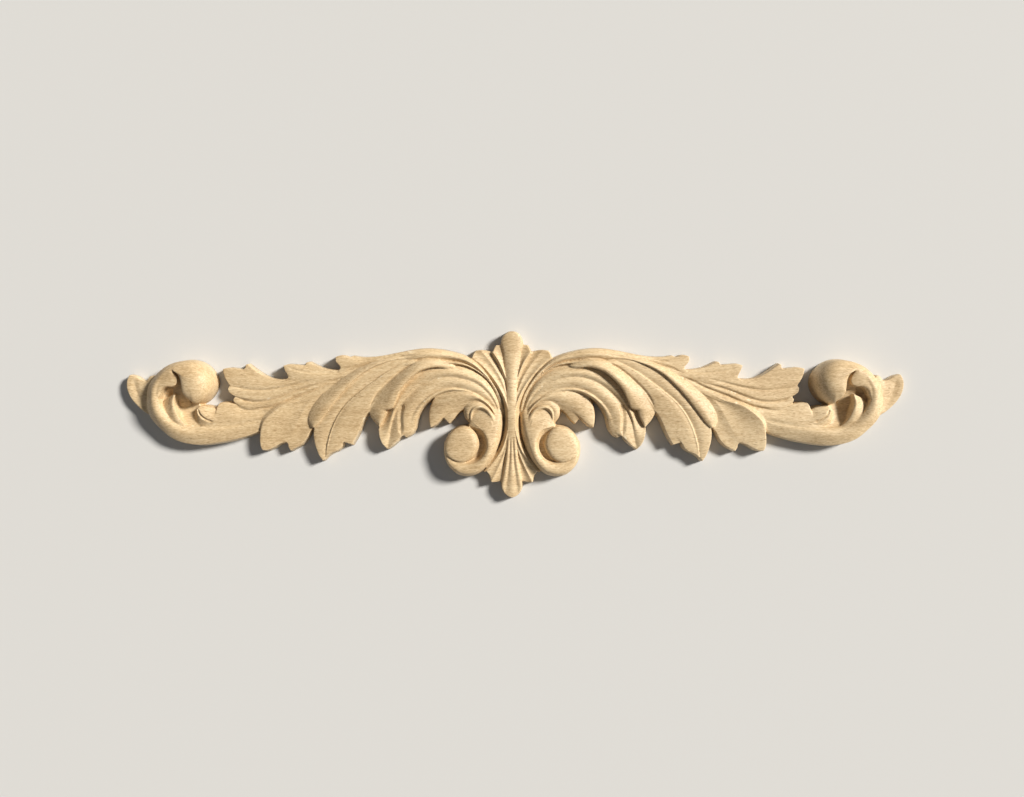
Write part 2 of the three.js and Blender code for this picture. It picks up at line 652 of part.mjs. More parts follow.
    section: crest(0.45),
    rows: 15,
  },
  stemTop: {
    from: [
      [240, 8, 34], [252, 6, 37], [262, 4.8, 37], [271, 6.4, 36.5], [277.6, 9.5, 37], [284, 11, 38],
      [291, 11.6, 39.5], [296, 11, 40],
    ],
    to: [[236, -2, 36], [250, -6, 43], [264, -9, 46], [278, -11, 49], [290, -12, 50.5], [300, -10, 51]],
    tip: [[[296, 11], [298, 8.6], [299.4, 5.2]], [[299.4, 5.2], [300.4, -2], [300, -10]]],
    swell: [1, 3, 5, 5, 2.5],
    section: crest(0.6),
    reach: 10,
  },
  hookFinger: {
    from: [
      [266, 0, 34], [280, 3, 39], [291, 4.6, 42], [299.4, 5.1, 41.5], [305, 6.8, 42.5], [311, 8, 43.5],
      [316.6, 7.7, 44], [319.4, 5.2, 44],
    ],
    to: [
      [268, -9, 36], [281, -10, 43], [292, -10, 48.5], [302, -9.4, 51], [309.8, -6.8, 52.5],
      [314.4, -3.8, 52.5], [317, 0.8, 50.5], [319.6, 4.6, 45],
    ],
    swell: [0, 1, 2, 4, 6, 4],
    section: crest(0.6),
    rows: 5,
  },
  hookBevel: {
    from: [
      [292, -10, 48], [302, -9.4, 51], [309.8, -6.8, 52.5], [314.4, -3.8, 52.5], [317, 0.8, 50.5],
      [319.4, 5, 45],
    ],
    to: [
      [290, -12, 43], [302, -13, 46], [312, -12.6, 45], [318.6, -9.6, 40], [321, -3, 36],
      [321, 3.4, 38],
    ],
    section: flat(),
    rows: 5,
  },
  curlInner: {
    from: [
      [336, 42.6, 85], [332.4, 36.4, 82], [332.8, 30.6, 79], [337, 27.6, 77], [343.4, 27.2, 75],
      [348.6, 23.4, 72], [351.6, 16.6, 68],
    ],
    to: [
      [341, 42.6, 85], [344.6, 39, 83.5], [348, 35, 81.5], [350.8, 30.6, 79], [352.6, 25.6, 77],
      [353.4, 20.6, 74], [353.6, 15.6, 71],
    ],
    swell: [2],
    rows: 5,
  },
  tongue: {
    from: [
      [318, -16, 46], [326, -11, 52], [332, -4.7, 58], [335, 2.4, 63], [336.8, 10.6, 66],
      [335.8, 18.6, 67],
    ],
    to: [
      [336, -20, 46], [347, -9, 48], [352.4, 2, 47], [351, 10, 47], [346, 15.4, 52], [337, 19.6, 65],
    ],
    swell: [3, 5, 7, 7, 3],
    section: crest(0.3),
    rows: 4,
  },
  curlFloor: {
    from: [[311, -15, 46], [313.4, -4, 38], [314, 9, 36], [319, 17, 40], [328, 26, 52]],
    to: [[336, -13, 50], [347, -3, 50], [355, 7, 48], [358, 19, 50], [352, 31, 62]],
    swell: [0, -12, -17, -13, 0],
  },
  cleftFloor: {
    from: [[323, 5, 20], [324, 14, 38], [325.6, 24, 52], [325.6, 33, 62], [328, 40, 72], [332, 46, 82]],
    to: [[342, 5, 22], [341, 16, 42], [339, 26, 54], [336.6, 33, 62], [335.6, 39, 72], [338, 44, 82]],
    section: flat(),
  },
  tipLeaf: {
    from: [[350, -8, 38], [358, 6, 39], [361, 22, 38], [361.4, 37.8, 34]],
    to: [
      [358, -8.6, 34], [365.1, -1.4, 33.5], [371, 2.4, 33], [377.7, 8, 32], [383, 13.8, 31],
      [386.8, 19.7, 30.5], [389, 26.6, 30], [389, 33.4, 30], [386.4, 39.4, 30],
    ],
    tip: [
      [[361.4, 37.8], [364.5, 38.3], [367, 36], [369, 33]],
      [[369, 33], [374, 33.8], [380, 37.6], [386.4, 39.4]],
    ],
    swell: [0, 1, -2, -3],
    reach: 20,
    rows: 5,
  },
};

// Bosses: a closed outline that a rounded top rises from.
const DOMES = {
  scrollBoss: {
    outline: [
      [32.3, -31, 40], [34.2, -22, 40], [39, -15.4, 42], [45, -12.2, 44], [52, -12.9, 45],
      [59, -16.8, 46], [64.8, -24.5, 46], [66.8, -34, 49], [62.6, -42.4, 58], [55, -46.6, 59],
      [46, -47.4, 52], [37, -42, 41],
    ],
    middle: [44, -31],
    top: 66,
    power: 3,
  },
  rolledTip: {
    outline: [
      [299, 31, 50], [301, 39.4, 50], [306, 46, 50], [312.4, 50.6, 50], [319.6, 53, 52],
      [327, 53.2, 54], [334, 51.2, 60], [337.6, 47.6, 72], [336, 43.6, 84], [330.4, 39.6, 88],
      [327.4, 34, 90], [326.6, 27.5, 89], [326, 21.8, 85], [323.6, 17, 76], [320, 13.4, 64],
      [315.4, 10.6, 52], [307.4, 15, 50], [301.8, 21.8, 50],
    ],
    middle: [315.4, 33],
    top: 100,
    power: 2,
  },
};

const { Manifold, Mesh } = await (async () => {
  const wasm = await Module();
  wasm.setup();
  return wasm;
})();

function solidFrom(geometry) {
  const merged = mergeVertices(geometry, 1e-4);
  return new Manifold(
    new Mesh({
      numProp: 3,
      vertProperties: new Float32Array(merged.attributes.position.array),
      triVerts: new Uint32Array(merged.index.array),
    }),
  );
}

function geometryFrom(solid) {
  const mesh = solid.getMesh();
  const geometry = new THREE.BufferGeometry();
  geometry.setAttribute('position', new THREE.BufferAttribute(mesh.vertProperties, 3));
  geometry.setIndex(new THREE.BufferAttribute(mesh.triVerts, 1));
  return geometry;
}

// Everything below the back is sawn away, which leaves it flat.
function sawnFlat(solid) {
  const waste = 3 * UNDERCUT_H * SCALE_H;
  const slab = new THREE.BoxGeometry(2 * ONLAY_LENGTH, 2 * ONLAY_HEIGHT, waste).translate(0, 0, -waste / 2);
  slab.deleteAttribute('normal');
  slab.deleteAttribute('uv');
  return solid.subtract(solidFrom(slab));
}

function carvedOnlay() {
  const blocks = PALMETTE.map((form) => blockFromGrid(fingerGrid(form), 1));
  for (const side of [1, -1]) {
    for (const form of Object.values(FORMS)) blocks.push(blockFromGrid(fingerGrid(form), side));
    for (const dome of Object.values(DOMES)) blocks.push(blockFromDome(dome, side));
  }
  const whole = blocks.map(solidFrom).reduce((sum, block) => sum.add(block));
  const geometry = geometryFrom(sawnFlat(whole));
  geometry.computeVertexNormals();
  return geometry;
}

const wood = new THREE.MeshStandardMaterial({ color: WOOD_COLOUR, roughness: 0.6, metalness: 0 });
const onlay = new THREE.Mesh(carvedOnlay(), wood);
onlay.name = 'carved_leaf_onlay';

const group = new THREE.Group();
group.add(onlay);

export default group;
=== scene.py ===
import math

import bmesh
import bpy
import numpy as np
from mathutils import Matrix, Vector


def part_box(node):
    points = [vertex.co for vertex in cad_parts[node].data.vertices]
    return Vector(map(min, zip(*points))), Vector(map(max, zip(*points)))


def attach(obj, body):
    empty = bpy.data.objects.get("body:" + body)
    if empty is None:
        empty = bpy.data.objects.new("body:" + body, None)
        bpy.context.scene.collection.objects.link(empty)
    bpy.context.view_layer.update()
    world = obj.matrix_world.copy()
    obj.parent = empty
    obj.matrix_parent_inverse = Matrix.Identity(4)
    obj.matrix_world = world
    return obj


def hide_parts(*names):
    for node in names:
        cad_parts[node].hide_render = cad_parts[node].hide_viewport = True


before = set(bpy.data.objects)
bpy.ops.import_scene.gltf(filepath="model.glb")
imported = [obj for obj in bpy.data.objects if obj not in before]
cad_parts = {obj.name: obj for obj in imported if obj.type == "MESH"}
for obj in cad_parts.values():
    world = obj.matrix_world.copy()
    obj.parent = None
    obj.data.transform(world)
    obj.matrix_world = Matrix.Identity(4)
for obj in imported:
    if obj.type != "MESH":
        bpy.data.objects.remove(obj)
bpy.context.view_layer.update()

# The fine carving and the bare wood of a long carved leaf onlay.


CAD_LOW, CAD_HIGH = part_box("carved_leaf_onlay")

# Sizes of the onlay, in metres
ONLAY_LENGTH = 0.500
ONLAY_HEIGHT = 0.107
RELIEF_DEPTH = CAD_HIGH[2] - CAD_LOW[2]
WALL_DRAFT = 6  # lean of every cut wall, in degrees, out towards the back
DRAFT_RATIO = math.tan(math.radians(WALL_DRAFT))

# The design is drawn on a grid whose unit is about 0.64 mm of the real onlay. It has
# u out from the middle, v up, and h above the back in hundredths of the relief depth.
GRID_LENGTH = 778
GRID_HEIGHT = 166.6
GRID_DEPTH = 100
SCALE_U = ONLAY_LENGTH / GRID_LENGTH
SCALE_V = ONLAY_HEIGHT / GRID_HEIGHT
SCALE_H = RELIEF_DEPTH / GRID_DEPTH
UNDERCUT_H = 15  # how far the blocks run below the back before it is cut flat
END_REACH = 26  # how far the shape of a leaf's end works back into it
END_FADE = 1.5  # how sharply it fades on the way
RIB_FADE = (0.5, 0.9)  # where along a finger two ribs start to merge, and where they are one
CUT_TAPER = 2.5  # how short the pointed ends of the fine cuts are
CUT_POINT = 0.001  # the share of its width that a cut keeps at its very ends
FACING_SLOPE = 3  # a cut keeps this times the upward part of the surface's normal,
FACING_LOSS = 0.6  # less this, as a share of its depth, so it fades on steep walls

# Fineness of the carving
SPACING = 0.9  # grid units between the points of a form
FEWEST_ROWS = 4
FEWEST_COLUMNS = 6
FEWEST_AROUND = 24
FEWEST_RINGS = 8
RING_CROWDING = 1.5  # rings of a dome for each step of SPACING
CURVE_STEPS = 24  # samples between two points of an edge line
FINE_STEPS = 8  # the same for a leaf's end or a cut
VOXEL = 0.00034  # metres
SMOOTH_FACTOR = 0.5
SMOOTH_STEPS = 2
HALF_TRIANGLES = 94000
MIRROR_GAP = 0.00005  # metres over which the two halves join
PLANE_GAP = 1e-7  # metres within which a point counts as on a cutting plane
TINY = 1e-12  # what counts as nothing in a division or a share

# Colours of the wood
WOOD_DARK = (0.44, 0.295, 0.145)
WOOD_MID = (0.63, 0.46, 0.26)
WOOD_LIGHT = (0.80, 0.63, 0.395)
WOOD_FLECK = (0.280, 0.155, 0.065)
# Painted shade, multiplied into the creases and hollows
WOOD_PAINTED_SHADE = (0.42, 0.33, 0.24)
# Painted highlight, mixed onto sharp convex edges
WOOD_PAINTED_HIGHLIGHT = (0.95, 0.83, 0.62)

# Layers of the grain. The cells are counted per metre along the onlay, across it and up.
BROAD_GRAIN = dict(cells=(9, 50, 50), detail=3.0)
STREAKS = dict(cells=(40, 500, 500), detail=3.0, roughness=0.6)
FIBRES = dict(cells=(380, 1500, 1500), roughness=0.7)
FLECK_CELLS = (240, 1100, 1000)
TONE_SHARES = (0.30, 0.25, 0.45)  # of the broad grain, the streaks and the fibres
TONE_STOPS = (0.36, 0.50, 0.64)  # where the tone is dark, middling and light
FLECK_SIZE = (0.16, 0.40)  # from the middle of a fleck: where it is full, and where it ends
FLECK_CHANCE = (0.47, 0.57)  # of the noise that picks the flecks: where none is, and where all are
FLECK_SHARE = 0.55

# Painted shade in hollows and painted highlights on sharp edges, told by how sharply the surface bends.
# Flat wood is at 0.5.
PAINTED_SHADE_STOPS = (0.40, 0.488)  # where a hollow is full, and where it ends
PAINTED_SHADE_SHARE = 0.85
PAINTED_HIGHLIGHT_STOPS = (0.525, 0.60)  # where an edge begins, and where it is full
PAINTED_HIGHLIGHT_SHARE = 0.55

# Gloss and relief of the wood
ROUGHNESS = 0.48
STREAK_ROUGHNESS = 0.15  # added by the streaks
FLECK_ROUGHNESS = 0.15  # added by the flecks
RELIEF_SHARES = (0.6, 0.4, -0.6)  # of the fibres, the streaks and the flecks
BUMP_STRENGTH = 0.22
BUMP_DEPTH = 0.0005  # metres

# Floor, light and background
FLOOR_SIZE = 24  # metres
FLOOR_GAP = 0.0001  # metres under the back
FLOOR_COLOUR = (0.64, 0.635, 0.625)
FLOOR_ROUGHNESS = 0.9
KEY_FROM = (3.5, 1.6, 2.7)  # towards the light, from the onlay
KEY_STRENGTH = 5.5
KEY_SPREAD = 12  # how wide the light looks from the onlay, in degrees
KEY_COLOUR = (1.0, 0.965, 0.90)
SKY_COLOUR = (0.115, 0.118, 0.122)
HORIZON_COLOUR = (0.73, 0.725, 0.71)
SKY_RISE = (0.16, 0.30)  # sines of the heights where the horizon ends and the sky begins

# The camera looks down at a point just above the middle of the onlay, from a little to its right
IMAGE_WIDTH = 1024
FOCAL_PX = 926  # focal length in pixels of an image that wide
SENSOR_WIDTH = 36  # millimetres
CAMERA_YAW = 1.2  # degrees
CAMERA_DISTANCE = 0.602  # metres
CAMERA_RISE = 0.010  # metres

# The colour sockets of Blender's Mix node
MIX_A = 6
MIX_B = 7
MIX_RESULT = 2


# Cross-sections of a leaf finger: its rise at s, the share of the way across, and t, the
# share of the way along
def flat(s, t):
    """A plain bevel."""
    return 0 * s * t


def crown(s, t):
    """A rounded finger."""
    return np.sin(np.pi * s)


def crest(peak):
    """A finger whose ridge lies at a share of the way across."""
    def rise(s, t):
        up = np.sin(0.5 * np.pi * np.clip(s / peak, 0, 1))
        down = np.cos(0.5 * np.pi * np.clip((s - peak) / (1 - peak), 0, 1))
        return np.where(s < peak, up, down)
    return rise


def ribs(place):
    """Two rounded ribs that meet at a share of the way across."""
    def rise(s, t):
        return np.sin(np.pi * np.where(s < place, s / place, (s - place) / (1 - place)))
    return rise


def fading_ribs(place):
    """Two ribs that merge into one rounded finger before its end."""
    def rise(s, t):
        share = np.clip((t - RIB_FADE[0]) / (RIB_FADE[1] - RIB_FADE[0]), 0, 1)
        return (1 - share) * ribs(place)(s, t) + share * crown(s, t)
    return rise


def flutes(count):
    """Equal rounded ribs side by side."""
    def rise(s, t):
        return np.abs(np.sin(count * np.pi * s))
    return rise


def lifted(points, rise):
    """The same line, higher up, or lower with a negative rise."""
    return [[u, v, h + rise] for u, v, h in points]


def seen_from_above(points):
    """The same points without their height."""
    return [point[:2] for point in points]


def middle_form(edge, half_tip, **more):
    """A form of the palmette that crosses the middle line: one edge mirrors the other."""
    def mirror(points):
        return [[-point[0], *point[1:]] for point in points]
    tip = {"tip": [[*mirror(half_tip), *half_tip[-2::-1]]]} if half_tip else {}
    return dict(a=mirror(edge), b=edge, **tip, **more)


# A form is a sheet between two edge lines a and b. Its section, crown where none is named,
# stands on it as high as swell says from start to end. A tip is the outline of the end, and
# reach says how far its shape works back.

# Forms that cross the middle line
PALMETTE = [
    # Bed under the grooves
    middle_form([[14, 22, 24], [11, 0, 24], [13, -25, 24], [20, -42, 24]], None),
    # Top finger
    middle_form(
        [[3.4, -8, 54], [4, 12, 52], [5, 30, 46.5], [6.5, 45, 42], [8.6, 60, 38], [10.4, 68.2, 36]],
        [[10.4, 68.2], [9.9, 73.6], [7.4, 78.8], [3.6, 81.7], [0, 82.4]],
        swell=[2, 4, 6, 7],
    ),
    # Waist
    middle_form(
        [[4.4, 24, 46], [4.3, 8, 55.5], [4, -7, 57.5], [4.5, -22, 52.5], [5, -32, 45]],
        None,
        swell=[2, 2],
    ),
    # Bottom finger
    middle_form(
        [
            [3.4, -8, 54], [3.9, -20, 52], [4.8, -32, 47], [6.4, -46, 42], [8.6, -60, 38],
            [9.9, -66.5, 36.5],
        ],
        [[9.9, -66.5], [9.6, -73], [7.2, -79], [3.4, -82.3], [0, -83.2]],
        swell=[1, 3, 4, 4, 3],
        section=flutes(3),
    ),
]

# Edges that two forms share
INNER_PETAL_EDGE = [[4.6, 30, 42], [7.4, 40.5, 47], [12, 51.5, 47.5], [16, 57.6, 45], [19, 61.4, 42]]
RIM_TOP = [
    [3.2, -6, 58], [3.5, 2, 58], [6, 13, 56], [11.5, 25, 52], [19.8, 37.5, 48], [30, 49, 44],
    [39.4, 56.2, 41],
]
RIM_BOTTOM = [
    [3.2, -6, 58], [3.6, -13, 57.5], [5.4, -23, 55], [9.5, -35, 50], [16, -45.5, 45.5], [25.2, -57, 41],
]
RIB_CREASE = [
    [10, 0, 32], [11.6, 8, 36], [17, 23, 37], [26, 36, 40], [40, 45.3, 43], [51, 48.6, 46],
    [62, 49.3, 49],
]
VALLEY = [
    [13, -2, 33], [15.6, 8, 43], [22, 19, 48], [34, 29.8, 53], [48, 35.2, 57], [62, 37.2, 58.5],
    [74, 35.8, 57.5], [85, 31.5, 55], [95, 24.8, 52], [104, 16.5, 49], [112, 7.5, 46],
    [117.8, -2.5, 43], [120.8, -14, 40], [122.6, -25, 38], [124.7, -35.1, 36],
]
STEP_LINE = [
    [55.6, 47.6, 48], [59, 46, 57], [65, 45.8, 64], [76, 46.8, 72], [90, 43.4, 79], [101, 35.4, 79],
    [110, 25, 74], [115, 14.5, 67], [118.6, 6.6, 61], [122, 4.8, 59], [125.2, 4, 57], [126.8, -1.4, 54],
    [129.4, -7, 51], [132.4, -12.8, 46],
]
FOLD_GROOVE = [
    [56.4, 49, 48], [60, 50.6, 56], [67, 52.8, 60], [78, 55.6, 62], [90, 54.4, 62], [100, 49.4, 60],
    [112, 41.6, 57], [122.6, 32.4, 55], [132, 23, 53], [138.4, 13.6, 50], [142.4, 5, 47],
    [141.6, -0.6, 45], [138, -7, 43], [132.4, -13.4, 41],
]
LEAF_GROOVE = [
    [96, 58, 60], [112, 55, 58], [127, 51.4, 56], [140, 46, 55], [152, 38.4, 54], [164.4, 26.6, 52],
    [176, 13.6, 50], [185, 2, 47], [192.5, -8, 44], [197.6, -13.6, 42],
]
GREAT_VEIN = [
    [92, 57.5, 57], [108, 50.6, 58.5], [124, 41.6, 58], [139.5, 30.9, 56], [151.9, 21.5, 54],
    [164.3, 10.7, 51], [173.6, -1.7, 48], [179.8, -14.2, 44.5], [184.5, -29.7, 41], [186.6, -43.2, 38],
]
END_CREASE_TOP = [
    [166, 39.8, 44], [193, 36, 43.5], [213.6, 30.8, 42.5], [231.6, 26.4, 41.5], [249.6, 24, 40.5],
    [267.6, 25.2, 39], [283.6, 28.5, 37],
]
END_CREASE_MIDDLE = [
    [166, 38.8, 44], [192, 31.2, 44], [214, 24.5, 43], [235.2, 16.5, 42], [252, 12.4, 40.5],
    [266, 13.3, 39], [278.4, 17.5, 37],
]
LOW_RIDGE = [
    [178, 30, 43], [192, 20.6, 44.5], [203, 11.6, 45.5], [211, -1, 45], [218.6, -14.6, 42.5],
    [226.8, -28.1, 38.5],
]
LOW_EDGE = [
    [182, 30, 44], [198, 19.6, 47], [213, 13, 51], [228, 8.6, 55], [240, 0.6, 56], [248, -7.4, 53],
    [251.8, -16.5, 47],
]

# Forms of the right half. The left half mirrors them.
FORMS = {
    "inner_petal": dict(
        a=[[3, 28, 38], [4.5, 40, 40], [6, 52, 37.5], [8.6, 67.6, 33]],
        b=INNER_PETAL_EDGE,
        tip=[[[8.6, 67.6], [12.6, 69], [15.8, 68.8]], [[15.8, 68.8], [17.6, 65.2], [19, 61.4]]],
        swell=[0, -4, -5],
    ),
    "inner_petal_bevel": dict(
        a=INNER_PETAL_EDGE,
        b=[[5.4, 28, 36], [9.2, 40, 40], [14.2, 51, 39], [18, 57.5, 36], [20.2, 61.6, 32]],
        section=flat,
    ),
    "outer_petal": dict(
        a=[[2.4, 8, 44], [3.6, 24, 42], [6.4, 40, 39.5], [11.8, 52, 35.5], [18.6, 61.6, 31]],
        b=RIM_TOP,
        tip=[
            [[18.6, 61.6], [24, 63.2], [30, 63.8], [36.4, 63.2]],
            [[36.4, 63.2], [38.2, 60], [39.4, 56.2]],
        ],
        swell=[0, -3.5, -4.5, -4],
        section=flutes(2),
    ),
    "rim_bevel_top": dict(
        a=RIM_TOP,
        b=[
            [7, -6, 34], [7.3, 3, 34], [10, 13.5, 34], [15.4, 25, 35], [23.2, 36.8, 36], [33, 48.4, 37],
            [41, 55.6, 37],
        ],
        section=flat,
    ),
    "lower_leaf": dict(
        a=[[2.6, -12, 44], [3.3, -28, 42], [5, -44, 39], [8.6, -66.3, 34.5]],
        b=RIM_BOTTOM,
        tip=[[[8.6, -66.3], [15, -67.8], [20.4, -68.3]], [[20.4, -68.3], [22, -62], [25.2, -57]]],
        swell=[0, -3, -4.5, -4],
        section=flutes(2),
    ),
    "rim_bevel_bottom": dict(
        a=RIM_BOTTOM,
        b=[[7, -6, 34], [7.4, -14, 34], [9.4, -25, 34], [13.6, -36, 35], [20, -46, 36], [28, -58, 38]],
        section=flat,
    ),
    "scroll_stem": dict(
        a=[
            [12, 10, 28], [9.2, 0, 38], [9.4, -12, 42], [11.6, -25, 43], [16.8, -39, 44],
            [24, -50.5, 45], [33, -58.6, 45], [43, -61.7, 45], [53.5, -60, 45], [61.6, -53.4, 45],
            [66, -45.4, 45], [67.6, -37, 45], [67, -28, 44],
        ],
        b=[
            [21, 11, 30], [27, 0, 49], [31, -10, 57], [29, -16, 60], [25.6, -22, 62], [24.2, -30, 63],
            [26, -38, 63], [31, -45.5, 63], [38, -49.4, 62], [46, -50.5, 60], [54, -48.5, 57],
            [59.6, -43, 53], [61.5, -36, 51], [61, -28, 48],
        ],
        swell=[2, 9, 14, 15, 14, 13, 12, 9, 3],
        section=crest(0.28),
    ),
    "scroll_groove": dict(
        a=[
            [39, -8, 48], [35.6, -10.6, 56], [30.6, -14.6, 60], [26.4, -20.5, 62.4], [24.2, -29, 63],
            [25.6, -37, 63], [30, -44.5, 63], [37, -49, 62], [46, -50.5, 60], [54, -48.5, 56.5],
            [59, -44.5, 56],
        ],
        b=[
            [43, -12.4, 46], [38.4, -14.8, 43], [33.6, -17.6, 40], [29.6, -22.6, 37], [27.8, -29.5, 36],
            [28.8, -36.8, 37], [32.4, -42.8, 40], [38, -46.6, 46], [45, -48.2, 53], [52, -46.6, 57],
            [57, -43, 58],
        ],
        section=flat,
    ),
    "scroll_floor": dict(
        a=[[38, -8, 44], [30, -18, 37], [26, -30, 35.5], [30, -42, 37], [41, -50, 44], [55, -50.5, 48]],
        b=[[47, -16, 44], [38, -24, 37], [36, -30, 35.5], [40, -39, 37], [48, -43, 44], [57, -41, 48]],
        section=flat,
    ),
    "hook_ridge": dict(
        a=[
            [14, -12, 52], [16.8, -4, 55], [21.4, 3.6, 57], [27.4, 8, 57], [34, 8.8, 56], [39.4, 6, 53],
            [42, 0.4, 49], [42, -6.6, 43],
        ],
        b=[
            [21, -11, 56], [21.6, -4, 54], [25, 1.8, 54], [30, 4.8, 54], [35, 4.4, 53], [38.4, 1.2, 50],
            [39.6, -5.6, 44],
        ],
        swell=[2, 5, 6, 6, 4],
    ),
    "eye_floor": dict(
        a=[[19, -11, 61], [22.6, 0, 55], [30, 5, 51], [38, 2.4, 47], [41, -6, 43]],
        b=[[24, -18, 61], [30, -15.6, 59.5], [35, -14, 56], [39, -13, 51], [43, -11, 45]],
        section=flat,
    ),
    "hook_lobe": dict(
        a=[
            [16, 4, 40], [25.4, 12, 45], [34, 14.2, 48], [41, 12.8, 49], [46, 8.6, 47], [47.8, 2.4, 44],
            [46.6, -3.2, 41], [43.4, -7.6, 38],
        ],
        b=[
            [20, -1, 46], [26.6, 6.6, 49], [33.6, 7.2, 50], [38.2, 4.8, 49], [40.6, 0.8, 46],
            [41, -4, 43], [41.6, -8, 38],
        ],
        swell=[2, 4, 6, 6, 2],
        section=crest(0.6),
    ),
    "inner_leaf": dict(
        a=[
            [14, 2, 42], [26, 14.4, 46], [39, 22, 48], [53.4, 25.4, 48], [67, 23, 46], [77.4, 15.4, 43],
            [81.4, 7.6, 40],
        ],
        b=[
            [15.6, -6, 47], [20, 5, 51], [30, 12, 50], [39, 11.6, 47], [47, 6, 43], [53.6, 1, 40],
            [58.2, -4.6, 38], [62.8, -9.5, 36],
        ],
        tip=[
            [[81.4, 7.6], [82.4, 1], [82.3, -6], [81, -13.3]],
            [[81, -13.3], [76, -10.8], [71.6, -7], [68.2, -3.3]],
            [[68.2, -3.3], [65.6, -6.2], [62.8, -9.5]],
        ],
        swell=[5, 9, 12, 12, 8],
        section=crest(0.5),
        reach=20,
    ),
    "second_finger": dict(
        a=VALLEY,
        b=[
            [15, -5, 33], [18, 4, 42], [27, 12.6, 47], [40, 20, 50], [56, 23, 52], [67, 21.8, 54],
            [76, 18, 55], [83.6, 12.6, 53], [89.6, 6, 50], [93.4, -0.8, 47], [95.4, -8, 44],
            [97, -14.8, 41.5], [100.6, -20.3, 39.5], [105.8, -23.4, 38],
        ],
        tip=[
            [[124.7, -35.1], [119, -31], [113.6, -25.6], [110.6, -20.2]],
            [[110.6, -20.2], [108.6, -21.4], [105.8, -23.4]],
        ],
        swell=[1, 3, 5, 6, 8, 9, 6],
        section=fading_ribs(0.78),
        reach=16,
    ),
    "third_finger": dict(
        a=[
            *RIB_CREASE, [78, 47.6, 52], [91, 42.6, 51], [101.6, 34.6, 50], [110.6, 24.4, 48],
            [115.6, 14, 46], [119.4, 7, 43], [124.6, 3, 35], [128.4, -3, 32], [131.4, -9, 34],
            [133.4, -14.4, 39],
        ],
        b=VALLEY,
        tip=[[[133.4, -14.4], [132.8, -21], [129.6, -29.6], [124.7, -35.1]]],
        swell=[3, 8, 10, 9, 8, 8, 6],
        section=crest(0.62),
        reach=18,
    ),
    "crown_rib": dict(
        a=[
            [7.6, -3, 28], [8.6, 6, 36], [12, 19, 37], [20.5, 33.5, 40], [30, 45.6, 43], [39.5, 54, 45],
            [48, 58.4, 46], [60, 62, 47], [73, 64.4, 48], [86, 65, 49], [100, 63.6, 49],
            [122, 59.2, 47],
        ],
        b=[*RIB_CREASE, [80, 50, 62], [98, 48, 58], [116, 44, 50]],
        swell=[2, 9, 13, 15, 13, 10, 4],
        section=ribs(0.68),
    ),
    "turned_fold": dict(
        a=STEP_LINE,
        b=FOLD_GROOVE,
        swell=[3, 5, 6, 7, 7, 6, 3],
        section=crest(0.33),
    ),
    "great_leaf_left": dict(
        a=[
            [84, 56, 55], [98, 49, 58.5], [110, 41.4, 59], [120, 33, 58], [129, 24, 57],
            [135.6, 14.6, 54], [141, 4.8, 50], [146.2, -2, 47.5], [149.8, -8.6, 45], [152.8, -16, 43],
            [156, -22.6, 41], [160.6, -30.6, 39],
        ],
        b=GREAT_VEIN,
        tip=[
            [[160.6, -30.6], [163.4, -29.6], [169.3, -27.6]],
            [[169.3, -27.6], [171, -32.6], [175.2, -36.6], [181.4, -39.2], [186.6, -43.2]],
        ],
        swell=[0, 1.5, 3, 4, 4, 3, 1],
        section=crest(0.75),
        reach=18,
    ),
    "great_leaf_right": dict(
        a=lifted(GREAT_VEIN, -3),
        b=[*LEAF_GROOVE, [198.6, -22, 41], [196.9, -32, 39.5], [193.6, -41, 38], [189.9, -46.7, 37]],
        tip=[[[186.6, -43.2], [188.2, -45.2], [189.9, -46.7]]],
        swell=[0, 2, 3, 4, 4, 3, 1],
        section=crest(0.45),
    ),
    "long_fold": dict(
        a=[
            [96, 58, 56], [112, 55, 60], [127, 51.4, 63], [140, 46, 64], [152, 38.4, 63.5],
            [164.4, 26.6, 61], [176, 13.6, 58.5], [185, 2, 55], [192.5, -8, 51], [197.6, -13.6, 46],
        ],
        b=[
            [96, 60.4, 56], [118, 57, 54], [134, 53.4, 51.5], [146, 49, 50], [161, 40.8, 48.5],
            [175.2, 31, 47], [187.6, 20.8, 46], [196.9, 10.7, 45], [202.4, 0.6, 44], [203.9, -6.4, 43],
            [201.6, -12.6, 42],
        ],
        swell=[0, 1, 3, 5, 6, 6, 4],
        section=crest(0.35),
    ),
    "top_leaf": dict(
        a=[
            [80, 64.9, 47], [96, 64.2, 47.5], [112, 61.4, 46], [130, 58, 43], [140, 56.9, 40.5],
            [151.9, 56.9, 38.5], [159.6, 58.2, 37],
        ],
        b=[
            [80, 60, 54], [100, 58.6, 54], [120, 54.8, 50], [135, 51.4, 48], [148, 47, 46.5],
            [160, 41.8, 45], [170, 39.6, 43],
        ],
        tip=[
            [[159.6, 58.2], [161.8, 57.4], [163.5, 56.3]],
            [[163.5, 56.3], [167.4, 58], [172, 58.5], [176.6, 57.4]],
            [[176.6, 57.4], [176.2, 52.6], [172, 48]],
            [[172, 48], [171.6, 45.6], [174.4, 42.5], [170, 39.6]],
        ],
        swell=[2, 2, 3, 3],
        section=crest(0.6),
        reach=22,
    ),
    "upper_leaf": dict(
        a=[
            [140, 47, 44], [160, 45.6, 42], [172, 44, 40.5], [182, 44.4, 39.5], [192, 46.7, 38.5],
            [203.4, 52, 37],
        ],
        b=[
            [146, 41, 44], [165, 36.8, 45], [185, 33, 44.5], [205, 30.4, 43.5], [222, 32.8, 42],
            [227, 34.9, 41],
        ],
        tip=[
            [[203.4, 52], [206.3, 51.7], [207.5, 48.6]],
            [[207.5, 48.6], [217, 49.2], [224, 49.6], [229.3, 48.6]],
            [[229.3, 48.6], [227.4, 43.6], [224.4, 38.2]], [[224.4, 38.2], [224.6, 36], [227, 34.9]],
        ],
        swell=[0, 2, 4, 4],
        reach=24,
    ),
    "end_leaf_top": dict(
        a=[
            [170, 40, 42], [195, 38.4, 42], [214, 36, 41], [227, 34.9, 40], [236, 34.6, 39],
